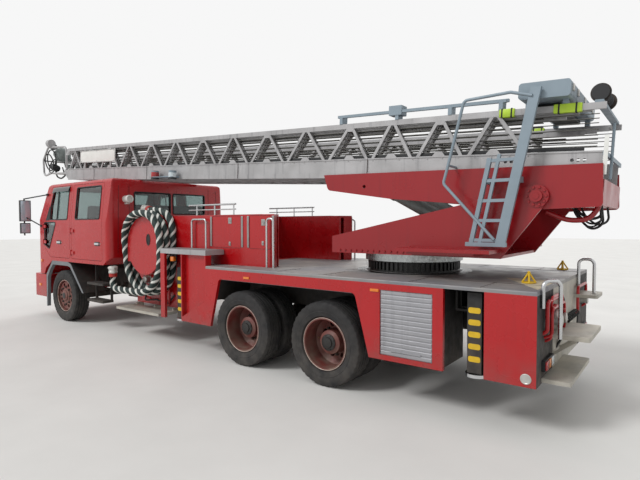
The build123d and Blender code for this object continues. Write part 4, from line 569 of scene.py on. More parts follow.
class FIRE_OT_finishes(bpy.types.Operator):
    """Gives every solid its own finish"""
    bl_idname = "fire_engine.finishes"
    bl_label = "Paint the Solids"

    # Where a solid's faces change finish. X is from the first rear axle, and the reel's place is (u, w).
    CAB_STEP_X = 3.3
    REAR_STEP_X = (-3.5181, -3.0)
    RACE_Z = (1.381, 1.469)
    RACE_RADIUS = (0.42, 0.60)
    REEL_PLACE = (-0.375, 0.862)
    ARCH_EDGE_Y = 1.183
    REAR_LAMP_X = -3.0
    WORK_LAMP_X = (3.0, 3.2)
    BAY_LINER = (0.66, 1.2049)
    LEDGE_Z = 1.3905

    def execute(self, context):
        MATERIALS.update(make_materials())
        for finish, nodes in NODE_FINISHES.items():
            for name in nodes:
                slots = frame["nodes"][name].data.materials
                slots.clear()
                slots.append(MATERIALS[finish])
        for name in DOORS:
            self.dress_door(frame["nodes"][name].data)
        self.paint_by_place()
        return {"FINISHED"}

    def paint_by_place(self):
        """Solids whose faces take more than one finish."""
        paint_faces("steps", ("step", "chassis", "enamel"), self.step_part)
        paint_faces("turret_frame", ("boom_enamel_and_shade", "ring"), self.race)
        paint_faces("boom_fittings", ("stile", "black_plastic"), self.reel)
        paint_faces("mudguards", ("grey_plastic", "chassis"), self.arch_liner)
        paint_faces("lamps", ("clear", "black_plastic", "white"), self.lamp_body)
        paint_faces("side_panels", ("enamel", "chassis", "silver"), self.panel_part)

    def step_part(self, spot, way):
        """The cab's steps, and the upright edges of the rear one."""
        if spot.x > self.CAB_STEP_X:
            return 1
        low, high = self.REAR_STEP_X
        return 2 if low < spot.x < high and abs(way.x) > 0.7 else 0

    def race(self, spot, way):
        """The bright band round the foot of the turntable."""
        radius = math.hypot(spot.x + AXLE - SLEW.x, spot.y)
        (low, high), (inner, outer) = self.RACE_Z, self.RACE_RADIUS
        return low < spot.z < high and inner < radius < outer

    def reel(self, spot, way):
        """The reel behind the cover, which is black."""
        offset = spot + X * AXLE - PIVOT
        return offset.dot(ALONG) < self.REEL_PLACE[0] and offset.dot(ABOVE) > self.REEL_PLACE[1]

    def arch_liner(self, spot, way):
        """What lies inside the mudguards' outer edge."""
        return abs(spot.y) < self.ARCH_EDGE_Y

    def lamp_body(self, spot, way):
        """Black bodies behind the rear lamps, and the work lamp's white one."""
        low, high = self.WORK_LAMP_X
        return 1 if spot.x < self.REAR_LAMP_X else 2 if low < spot.x < high else 0

    def panel_part(self, spot, way):
        """The bays' dark liners, and the bare top of the ledge."""
        ahead, inside = self.BAY_LINER
        if spot.x < ahead:
            return 1 if abs(spot.y) < inside else 0
        return 2 if spot.x > ahead and spot.z > self.LEDGE_Z else 0

    def dress_door(self, mesh):
        """Panes are the small solids of a door, and take glass."""
        mesh.materials.clear()
        mesh.materials.append(MATERIALS["enamel"])
        mesh.materials.append(MATERIALS["glass"])
        owner = islands(mesh)
        counts = {}
        for face, number in zip(mesh.polygons, owner):
            counts[number] = counts.get(number, 0) + face.area
        largest = max(counts, key=counts.get)
        for face, number in zip(mesh.polygons, owner):
            face.material_index = 0 if number == largest else 1


class FIRE_OT_tyres(bpy.types.Operator):
    """Tyres with beads, ribbed shoulders and a grooved tread"""
    bl_idname = "fire_engine.tyres"
    bl_label = "Tyres"

    WIDTH = 0.28
    RIM_HALF = 0.0985
    BEAD_R = 0.2865
    FLANGE_R = 0.3005
    # Distance in from the sidewall, and radius, up to the shoulder
    SIDEWALL = ((0.001, 0.365), (0.004, 0.372), (0.001, 0.38), (0.003, 0.42), (0.008, 0.445))
    GROOVES = (-0.072, -0.026, 0.026, 0.072)
    STEPS = 120
    SLOT_EVERY = 3
    SLOT_DEPTH = 0.008

    def execute(self, context):
        for place, body, node_name in WHEELS:
            for side, _ in SIDES:
                low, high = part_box(f"{node_name}_{side}")
                middle = (low + high) / 2
                twins = (high.y - self.WIDTH / 2, low.y + self.WIDTH / 2)
                shape = Shape()
                for y in (middle.y,) if place == "front" else twins:
                    self.tread(shape, Vector((middle.x, y, middle.z)))
                shape.finish(f"tyre_rubber_{place}_{side}", f"{body}_{side}", "tyre", smooth=30,
                             stands_for=(f"{node_name}_{side}",))
        return {"FINISHED"}

    def tread(self, shape, centre):
        """One tyre, turned from its section, with slots cut in both shoulders."""
        half, top = self.WIDTH / 2, TYRE_R - 0.0005
        deep = top - sizes().groove
        side = [(-self.RIM_HALF, self.BEAD_R), (-self.RIM_HALF, self.FLANGE_R),
                (-half + 0.012, self.FLANGE_R + 0.014), (-half + 0.004, self.FLANGE_R + 0.05)]
        side += [(-half + inset, radius) for inset, radius in self.SIDEWALL]
        side += [(-half + 0.014, top - 0.012), (-half + 0.026, top - 0.003)]
        rib = []
        for g in self.GROOVES:
            rib += [(g - 0.006, top), (g - 0.004, deep), (g + 0.004, deep), (g + 0.006, top)]
        profile = side + rib + [(-a, r) for a, r in reversed(side)]
        points = []
        for n, out in enumerate(circle(Vector(), X, Z, self.STEPS)):
            slot = n % self.SLOT_EVERY == 0
            for a, r in profile:
                shoulder = abs(a) > 0.1 and r > top - 0.02
                points.append(centre + Y * a + out * (r - self.SLOT_DEPTH if slot and shoulder else r))
        shape.skin(points, len(profile))


class FIRE_OT_wheel_fittings(bpy.types.Operator):
    """Nuts, hub covers, valves and the pale rim edge of every wheel, worn steel with a painted highlight"""
    bl_idname = "fire_engine.wheel_fittings"
    bl_label = "Wheel Fittings"

    NUTS = 8
    NUT_CIRCLE = 0.1655
    NUT_HEIGHT = 0.028
    WHEEL_INSET = 0.145
    EDGE_R = 0.2915
    EDGE_OUT = 0.1115
    VALVE_R = 0.245
    COVER_BOLTS = 8
    # How far out the disc's face and the cover's foot lie, and the cover's radius and rise
    FRONT_HUB = (0.082, 0.094, 0.094, 0.036)
    REAR_HUB = (-0.1495, 0.0235, 0.0935, 0.03)
    COVER = ((0, 1), (0.35, 1), (0.5, 0.88), (0.6, 0.66), (1, 0.6), (1.08, 0.5))

    def execute(self, context):
        middle = HALF - self.WHEEL_INSET
        for side, sign in SIDES:
            for place, body, _ in WHEELS:
                hub = Vector(JOINTS[f"{body}_{side}"]["pos_m"])
                face, foot, radius, rise = self.FRONT_HUB if place == "front" else self.REAR_HUB

                def off(out, dx=0.0):
                    return Vector((hub.x + dx, sign * (middle + out), hub.z))

                shape = Shape()
                self.nuts(shape, off(face), Y * sign)
                shape.index = 1
                self.cover(shape, off(foot), Y * sign, radius, rise)
                # A pale ring on the rim's edge: worn steel with a painted highlight.
                shape.index = 2
                ring = circle(off(self.EDGE_OUT), X * self.EDGE_R, Z * self.EDGE_R, 72)
                shape.tube(ring, 0.0035, 8, closed=True)
                shape.index = 3
                valve = ((-0.01, 0.0), (0.03, 0.004), (0.055, -0.012))
                shape.tube([off(face + out, self.VALVE_R + dx) for out, dx in valve], 0.005, 8)
                shape.finish(f"wheel_fittings_{place}_{side}", f"{body}_{side}", "iron", "hub_grease",
                             "rim_highlight", "brass")
        return {"FINISHED"}

    def nuts(self, shape, centre, out):
        """Studs, washers and nuts round a wheel."""
        for spot in circle(centre, X * self.NUT_CIRCLE, Z * self.NUT_CIRCLE, self.NUTS):
            shape.disc(spot, out, sizes().nut * 0.62, 0.005, 16)
            shape.nut(spot, out, sizes().nut, self.NUT_HEIGHT)
            shape.disc(spot, out, 0.0095, 0.036, 12)

    def cover(self, shape, centre, out, radius, rise):
        """The hub's cap with its ring of small bolts."""
        profile = [(rise * a, radius * r) for a, r in self.COVER] + [(rise * 1.08, 0.004)]
        shape.spin(profile, centre, out, 40)
        ring = radius * 0.86
        for spot in circle(centre, X * ring, Z * ring, self.COVER_BOLTS, math.pi / self.COVER_BOLTS):
            shape.nut(spot + out * rise * 0.35, out, 0.014, 0.009)


class FIRE_OT_windows(bpy.types.Operator):
    """Rubber round every pane, the door visors, handles and the shut lines of the cab"""
    bl_idname = "fire_engine.windows"
    bl_label = "Windows and Doors"

    FRONT = ((4.60, 1.91), (5.30, 1.91), (5.30, 2.18), (5.215, 2.48), (4.60, 2.48))
    CORNER = ((5.33, 1.35), (5.52, 1.42), (5.52, 1.86), (5.04, 1.86))
    REAR = ((3.45, 1.91), (4.30, 1.91), (4.30, 2.48), (3.45, 2.48))
    DIVIDER_X = 5.03
    CORNER_TRIM = ((5.312, 1.895), (5.475, 1.895), (5.36, 2.16), (5.312, 2.17))
    HANDLES = {"front": (4.849, 4.991), "rear": (3.449, 3.591)}
    HANDLE_Z = (1.462, 1.502)
    # Half the windscreen's width and its height, and each wiper's pivot and tip
    SCREEN = (1.04, 1.79, 2.50)
    WIPERS = ((0.62, -0.02), (-0.28, -0.92))
    BACK_LIGHT = ((0.03, 2.01), (0.76, 2.01), (0.76, 2.38), (0.03, 2.38))
    HATCH = ((-0.98, 1.33), (0.98, 1.33), (0.98, 1.70), (-0.98, 1.70))
    NOSE_BEND_Z = 1.30
    NOSE_SLOPE = 0.1556

    def execute(self, context):
        for side, sign in SIDES:
            for end, outlines in (("front", (self.FRONT, self.CORNER)), ("rear", (self.REAR,))):
                shape = Shape()
                for outline in outlines:
                    self.gasket(shape, outline, sign)
                if end == "front":
                    self.corner_trim(shape, sign)
                    self.divider(shape, sign)
                    shape.index = 1
                    self.visor(shape, sign)
                shape.finish(f"door_rubbers_{end}_{side}", f"door_{end}_{side}", "gasket", "visor")
                self.handle(end, side, sign)
        self.screen()
        self.back_lights()
        self.shut_lines()
        return {"FINISHED"}

    def gasket(self, shape, outline, sign):
        points = [at(x, sign * (cab_side(z) - 0.001), z) for x, z in outline]
        shape.tube(loop(points, 0.035, 5), sizes().gasket / 2, 10, closed=True)

    def divider(self, shape, sign):
        """The bar between the panes of a front door's window."""
        low, high = self.FRONT[0][1], self.FRONT[-1][1]
        ends = [at(self.DIVIDER_X, sign * (cab_side(z) - 0.012), z) for z in (low, high)]
        shape.tube(ends, 0.014, 8)

    def corner_trim(self, shape, sign):
        """Black panel that fills the door from its window to the windscreen pillar."""
        outline = self.CORNER_TRIM
        points = [at(x, sign * (cab_side(z) + out), z) for out in (-0.002, 0.0025) for x, z in outline]
        shape.skin(points, len(outline), wrap_rows=False)

    def visor(self, shape, sign):
        """Smoked wind deflector over a front door's window."""
        rows = ((2.525, 0.001), (2.515, 0.012), (2.49, 0.022), (2.46, 0.029), (2.435, 0.033))
        stations = [4.57 + 0.06 * n for n in range(12)]
        points = []
        for inner in (0.0, 0.004):
            for z, out in rows:
                for x in stations:
                    slope = max(0.0, x - 5.14) * 0.55
                    y = sign * (cab_side(z) + out - inner + 0.003)
                    points.append(at(x, y, z - slope * (2.53 - z) * 6))
        count, width = len(rows) * len(stations), len(stations)
        faces = []
        for layer in (0, count):
            for r in range(len(rows) - 1):
                for c in range(width - 1):
                    a = layer + r * width + c
                    faces.append((a, a + 1, a + width + 1, a + width))
        rim = list(range(width)) + [r * width + width - 1 for r in range(1, len(rows))]
        rim += [count - 1 - c for c in range(1, width)] + [r * width for r in range(len(rows) - 2, 0, -1)]
        faces += [(rim[n], rim[(n + 1) % len(rim)], rim[(n + 1) % len(rim)] + count, rim[n] + count)
                  for n in range(len(rim))]
        shape._faces(points, faces)

    def handle(self, end, side, sign):
        """A chrome grip on its rubber, with the lock beside it."""
        shape = Shape()
        x0, x1 = self.HANDLES[end]
        z0, z1 = self.HANDLE_Z
        grip, rubber = (0, 0.0215, 0.0, 0.0, 0.009), (1, 0.003, 0.012, 0.014, 0.0012)
        for shape.index, out, wider, higher, bevel in (grip, rubber):
            y0, y1 = sided(sign, HALF - 0.001, HALF + out)
            shape.block(at(x0 - wider, y0, z0 - higher), at(x1 + wider, y1, z1 + higher), bevel)
        shape.index = 2
        shape.disc(at(x0 - 0.026, sign * HALF, (z0 + z1) / 2), (0, sign, 0), 0.011, 0.004, 16)
        shape.finish(f"door_handle_{end}_{side}", f"door_{end}_{side}", "chrome", "gasket", "cast")

    def screen(self):
        """Windscreen rubber and two wipers with their arms and spindles."""
        shape = Shape()
        half, low, high = self.SCREEN

        def on_screen(y, z, out=0.0):
            return at(SCREEN_FOOT[0] - SCREEN_LEAN * (z - SCREEN_FOOT[1]) + out, y, z)

        corners = ((-half, low), (half, low), (half, high), (-half, high))
        shape.tube(loop([on_screen(y, z) for y, z in corners], 0.05, 6), 0.016, 10, closed=True)
        for pivot, tip in self.WIPERS:
            foot = on_screen(pivot, 1.765, 0.03)
            end = on_screen((pivot + tip) / 2, 1.93, 0.034)
            shape.tube([foot, foot.lerp(end, 0.55) + Vector((0.012, 0, 0.01)), end], 0.008, 8)
            shape.disc(foot - Vector((0.03, 0, 0.006)), (1, 0, 0.3), 0.02, 0.035, 16)
            shape.tube([on_screen(pivot - 0.02, 1.835, 0.02), on_screen(tip, 2.03, 0.02)], 0.007, 6)
        shape.finish("windscreen_rubber_and_wipers", "root", "gasket")

    def back_lights(self):
        """Rubbers of the two windows in the cab's back wall."""
        shape = Shape()
        for sign in (1, -1):
            route = [at(CAB_BACK - 0.001, sign * y, z) for y, z in self.BACK_LIGHT]
            shape.tube(loop(route, 0.03, 5), 0.013, 10, closed=True)
        shape.finish("back_window_rubbers", "root", "gasket")

    def shut_lines(self):
        """Seams of the nose hatch, the roof panel and the cab's back wall."""
        shape = Shape()
        route = []
        for (y0, z0), (y1, z1) in zip(self.HATCH, self.HATCH[1:] + self.HATCH[:1]):
            for share in (0.02, 0.25, 0.5, 0.75, 0.98):
                y, z = y0 + (y1 - y0) * share, z0 + (z1 - z0) * share
                nose = CAB_NOSE - max(0.0, z - self.NOSE_BEND_Z) * self.NOSE_SLOPE
                route.append(at(nose - 0.001, y, z))
        shape.tube(route, 0.0032, 6, closed=True)
        roof, back = 2.5995, CAB_BACK - 0.0005
        for y in (-0.55, 0.0, 0.55):
            shape.tube([at(3.35, y, roof), at(5.2, y, roof)], 0.004, 6)
        for sign in (1, -1):
            for low, high, top in ((0.86, 0.86, 2.5), (1.08, 1.05, 2.48)):
                shape.tube([at(back, sign * low, 1.32), at(back, sign * high, top)], 0.003, 6)
        shape.finish("cab_shut_lines", "root", "seam")


class FIRE_OT_cab_lamps(bpy.types.Operator):
    """Headlamp bezels, indicators, the side lamps, the work lamp and the mirrors' glass"""
    bl_idname = "fire_engine.cab_lamps"
    bl_label = "Lamps and Mirrors"

    # Each headlamp's place across and its radius
    HEADLAMPS = ((0.9, 0.095), (0.69, 0.07))
    HEADLAMP_Z = 0.65
    MARKER_Y = (1.236, 1.256)
    DECK_MARKERS = (-0.12, -1.98)
    WORK_LAMP = (0.088, 0.93, 2.25)
    # Low and high edge, place along and half width of each mirror's glass
    MIRRORS = ((1.895, 2.285, 5.9895, 0.088), (1.655, 1.835, 5.9945, 0.078))
    MIRROR_Y = 1.4
    REAR_LENSES = ((0.745, 0.845), (0.855, 0.945), (0.955, 1.055))
    REAR_LENS_Z = (0.552, 0.628)

    def execute(self, context):
        self.headlamps()
        self.side_markers()
        self.work_lamp()
        self.mirror_glass()
        self.rear_lenses()
        return {"FINISHED"}

    def headlamps(self):
        """Bezels and lenses, each lens with upright flutes."""
        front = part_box("front_bumper")[1].x - AXLE
        rings, lenses = Shape(), Shape()
        for sign in (1, -1):
            for y, radius in self.HEADLAMPS:
                centre = at(front, sign * y, self.HEADLAMP_Z)
                bezel = ((0, -0.001), (0.018, -0.004), (0.024, 0.004), (0.018, 0.014), (0, 0.018))
                rings.spin([(a, radius + r) for a, r in bezel], centre, X, 40, closed=True)
                lenses.spin([(0.012, radius - 0.004), (0.020, radius * 0.8), (0.0245, radius * 0.45),
                             (0.0255, 0.003)], centre, X, 36)
                for k in range(-3, 4):
                    reach = math.sqrt(1 - (k / 4) ** 2) * radius * 0.86
                    flute = [centre + Vector((0.0215, k * radius / 4, z)) for z in (-reach, reach)]
                    lenses.tube(flute, 0.0022, 6)
        rings.finish("headlamp_bezels", "root", "chrome")
        lenses.finish("headlamp_lenses", "root", "clear")

    def side_markers(self):
        """Amber lamps on the bumper's corners, the doors' front edges and the body's sides."""
        ambers = Shape()
        for sign in (1, -1):
            y0, y1 = sided(sign, *self.MARKER_Y)
            ambers.block(at(5.70, y0, 0.60), at(5.80, y1, 0.65), 0.006)
            ambers.disc(at(5.65, sign * HALF, 1.107), (0, sign, 0), 0.027, 0.014, 24)
            for x in self.DECK_MARKERS:
                ambers.block(at(x - 0.05, y0, 1.125), at(x + 0.05, y1, 1.155), 0.005)
        ambers.finish("side_marker_lamps", "root", "amber")

    def work_lamp(self):
        """The hood of the lamp on the cab's back wall, and its bracket."""
        shape = Shape()
        back, y, z = self.WORK_LAMP
        shape.spin([(-0.012, 0.066), (0.03, 0.064), (0.034, 0.052), (0.0, 0.05)],
                   at(CAB_BACK - back - 0.03, y, z), -X, 32)
        shape.bar(at(CAB_BACK, y, 2.17), at(CAB_BACK - 0.10, y, 2.17), 0.012, 0.05)
        shape.bar(at(CAB_BACK - 0.05, y, 2.165), at(CAB_BACK - 0.05, y, 2.195), 0.02, 0.03)
        shape.finish("work_lamp_hood", "root", "white")

    def mirror_glass(self):
        """Two panes in each mirror's frame."""
        shape = Shape()
        for sign in (1, -1):
            y = sign * self.MIRROR_Y
            for z0, z1, x, half in self.MIRRORS:
                shape.block(at(x - 0.003, y - half, z0), at(x + 0.004, y + half, z1), 0.002)
        shape.finish("mirror_glass", "root", "mirror")

    def rear_lenses(self):
        """Three lenses in each rear lamp, in the order of the finishes."""
        shape = Shape()
        x = BODY_END - 0.03
        z0, z1 = self.REAR_LENS_Z
        for sign in (1, -1):
            for shape.index, edges in enumerate(self.REAR_LENSES):
                y0, y1 = sided(sign, *edges)
                shape.block(at(x - 0.012, y0, z0), at(x + 0.002, y1, z1), 0.005)
        shape.finish("rear_lamp_lenses", "root", "clear", "amber", "ruby")


class FIRE_OT_seats(bpy.types.Operator):
    """Sewn seat cushions and backs: crowned pads with channels and piped edges"""
    bl_idname = "fire_engine.seats"
    bl_label = "Cab Seats"

    SEATS = (("driver", 4.75, 0.64, 0.48), ("officer", 4.75, -0.64, 0.48), ("crew", 3.56, 0.0, 1.90))
    CUSHION_Z = (1.455, 1.575)

    def execute(self, context):
        low, high = self.CUSHION_Z
        for name, x, y, width in self.SEATS:
            channels = [0.5] if width < 1 else [0.17, 0.335, 0.5, 0.665, 0.83]
            middle = at(x + 0.015, y, (low + high) / 2)
            self.pad(f"{name}_seat_cushion", middle, X, Z, width - 0.01, 0.475, high - low, channels)
            lean = Vector((-0.055, 0, 0.6)).normalized()
            face = Vector((lean.z, 0, -lean.x))
            middle = at(x - 0.1975, y, high + 0.304)
            self.pad(f"{name}_seat_back", middle, lean, face, width - 0.01, 0.585, 0.10, channels)
        return {"FINISHED"}

    def pad(self, name, middle, deep, out, width, depth, thick, channels):
        """A crowned closed form: deep is the way across the pad, out the way that it crowns."""
        shape = Shape()
        columns, around = max(40, int(width / 0.012)), 56
        points = []

        def power(value, exponent):
            return math.copysign(abs(value) ** exponent, value)

        for i in range(columns + 1):
            s = power(-math.cos(math.pi * i / columns), 0.7)
            end = (1 - abs(s) ** 9) ** (1 / 9) if abs(s) < 1 else 0.0
            pinch = 1 - 0.012 * (1 - s * s)
            place = (s + 1) / 2
            groove = sum(math.exp(-((place - c) * width / 0.006) ** 2) for c in channels)
            quilt = math.cos((place * (len(channels) + 1) - 0.5) * math.tau)
            for k in range(around):
                t = math.tau * k / around
                along = power(math.cos(t), 0.32) * depth / 2 * (0.06 + 0.94 * end) * pinch
                up = power(math.sin(t), 0.42 if math.sin(t) > 0 else 0.22) * thick / 2 * (0.10 + 0.90 * end)
                if math.sin(t) > 0.05:
                    crown = 1 - (2 * along / depth) ** 4
                    up += crown * (0.004 * quilt - 0.007 * groove) - 0.008 * (1 - crown)
                points.append(middle + Y * (s * width / 2) + deep * along + out * up)
        shape.skin(points, around, wrap_rows=False)
        shape.index = 1
        across, along, up = Y * (width / 2 - 0.012), deep * (depth / 2 - 0.006), out * thick * 0.33
        edge = [middle + across * sy + along * sx + up for sx, sy in ((-1, -1), (1, -1), (1, 1), (-1, 1))]
        shape.tube(loop(edge, 0.045, 8), 0.0045, 8, closed=True)
        piece = shape.finish(name, "root", "cloth", "gasket", stands_for=("cab_seats",))


class FIRE_OT_dash(bpy.types.Operator):
    """Instruments, levers and the wheel's grip inside the cab"""
    bl_idname = "fire_engine.dash"
    bl_label = "Dash"

    DIALS = (-0.76, -0.64, -0.52)
    DIAL = ((-0.03, 0.045), (0.006, 0.045), (0.008, 0.038), (0.004, 0.036), (0.004, 0.002))
    SWITCHES = 6
    GEAR_LEVER = ((5.05, -0.1, 1.35), (5.03, -0.12, 1.52), (4.99, -0.14, 1.66))
    WHEEL_CENTRE = (5.28, -0.64, 1.77)
    WHEEL_R = 0.21

    def execute(self, context):
        shape = Shape()
        for y in self.DIALS:
            shape.spin(self.DIAL, at(5.507, y, 1.70), (-1, 0, 0.25), 28)
        for n in range(self.SWITCHES):
            y = -0.30 + 0.1 * n
            shape.block(at(5.478, y, 1.56), at(5.492, y + 0.07, 1.60), 0.003)
        shape.tube(rounded([at(*p) for p in self.GEAR_LEVER], 0.05), 0.009, 10)
        shape.disc(at(4.99, -0.14, 1.65), Z, 0.026, 0.045, 20)
        shape.tube([at(4.98, 0.12, 1.35), at(4.95, 0.12, 1.47)], 0.011, 10)
        axis = Vector((-1, 0, 0.9)).normalized()
        middle = at(*self.WHEEL_CENTRE) + axis * 0.013
        shape.index = 1
        ring = circle(middle, Y * self.WHEEL_R, axis.cross(Y) * self.WHEEL_R, 48)
        shape.tube(ring, 0.0185, 12, closed=True)
        shape.disc(middle - axis * 0.01, axis, 0.055, 0.035, 28)
        shape.finish("dash_instruments_and_levers", "root", "black_plastic", "trim")
        return {"FINISHED"}


class FIRE_OT_hose(bpy.types.Operator):
    """Suction hose wound round the cowl: ribbed cover, pale spiral, cast couplings"""
    bl_idname = "fire_engine.hose"
    bl_label = "Suction Hose"

    RADIUS = 0.0545
    # Distance between pale bands, how many wind side by side, and the pale share
    SPACING = 0.165
    STARTS = 2
    BAND = 0.30
    BAND_HEIGHT = 0.0025
    RIB_HEIGHT = 0.0011
    RIB_PITCH = 0.02
    SIDES = 24
    STEPS = 16
    ROUTE = ((3.120, 1.189, 1.000), (3.120, 1.189, 0.740), (1.784, 1.189, 0.740), (1.784, 1.189, 1.990),
             (2.810, 1.189, 1.990), (2.810, 1.077, 0.740), (1.784, 1.077, 0.740), (1.784, 1.077, 1.990),
             (2.810, 1.077, 1.990), (2.810, 0.965, 0.740), (1.784, 0.965, 0.740), (1.784, 0.965, 1.990),
             (2.420, 0.965, 2.052))
    COLLAR = ((-0.06, 0.0575), (-0.055, 0.064), (-0.01, 0.065), (0.0, 0.062))
    COUPLING = ((0.0, 0.062), (0.004, 0.0705), (0.034, 0.0715), (0.040, 0.066), (0.060, 0.066),
                (0.064, 0.0715), (0.112, 0.0715), (0.118, 0.067), (0.1195, 0.056), (0.104, 0.054),
                (0.104, 0.002))
    LUG_TURNS = (0.0, 2.094, 4.189)

    def execute(self, context):
        points = rounded([at(*p) for p in self.ROUTE], 10.0, 24)
        lengths, frames = self.frames(points)
        shape = Shape()
        step = self.SPACING / self.STEPS
        pitch = self.SPACING * self.STARTS
        count = int(lengths[-1] / step)
        bands = [n % self.STEPS < self.STEPS * self.BAND for n in range(count + 1)]
        verts, faces, finishes = [], [], []
        for n in range(count + 1):
            for k in range(self.SIDES):
                place = min(n * step + k / self.SIDES * pitch, lengths[-1])
                centre, side, other = self.find(lengths, frames, place)
                turn = math.tau * k / self.SIDES
                rib = self.RIB_HEIGHT * math.cos(math.tau * place / self.RIB_PITCH)
                radius = self.RADIUS - (0.0 if bands[n] else self.BAND_HEIGHT) + rib
                verts.append(centre + (side * math.cos(turn) + other * math.sin(turn)) * radius)
        for n in range(count):
            for k in range(self.SIDES):
                # The spiral's grid meets itself one pitch further on.
                ahead, nxt = (n, k + 1) if k + 1 < self.SIDES else (n + self.STEPS * self.STARTS, 0)
                if ahead < count:
                    faces.append(tuple(row * self.SIDES + column for row, column in
                                       ((n, k), (ahead, nxt), (ahead + 1, nxt), (n + 1, k))))
                    finishes.append(int(bands[n]))
        for face, finish in zip(shape._faces(verts, faces), finishes):
            face.material_index = finish
        self.couplings(shape, points)
        shape.finish("suction_hose_cover", "root", "hose", "spiral", "cast", "hose_collar", smooth=50,
                     stands_for=("suction_hose",))
        return {"FINISHED"}

    def frames(self, points):
        """Lengths along the route, and a middle and two square directions at each point."""
        lengths, frames = [0.0], []
        side = (points[1] - points[0]).orthogonal().normalized()
        for n, point in enumerate(points):
            ahead = points[min(n + 1, len(points) - 1)]
            behind = points[max(n - 1, 0)]
            way = (ahead - behind).normalized()
            side = (side - way * side.dot(way)).normalized()
            frames.append((point, side.copy(), way.cross(side)))
            if n:
                lengths.append(lengths[-1] + (point - points[n - 1]).length)
        return lengths, frames

    def find(self, lengths, frames, place):
        """The middle and the two square directions at a length along the route."""
        low, high = 0, len(lengths) - 1
        while high - low > 1:
            middle = (low + high) // 2
            low, high = (middle, high) if lengths[middle] <= place else (low, middle)
        gap = lengths[high] - lengths[low]
        t = (place - lengths[low]) / gap if gap else 0.0
        a, b = frames[low], frames[high]
        return tuple(a[n].lerp(b[n], t) for n in range(3))

    def couplings(self, shape, points):
        """A red collar, a cast body with ribs, and lugs at each end."""
        for end, before in ((points[0], points[1]), (points[-1], points[-2])):
            way = (end - before).normalized()
            for shape.index, profile, steps in ((3, self.COLLAR, 36), (2, self.COUPLING, 40)):
                shape.spin(profile, end, way, steps)
            side = way.orthogonal().normalized()
            other = way.cross(side)
            for turn in self.LUG_TURNS:
                out = side * math.cos(turn) + other * math.sin(turn)
                shape.disc(end + way * 0.088 + out * 0.066, out, 0.013, 0.017, 12)


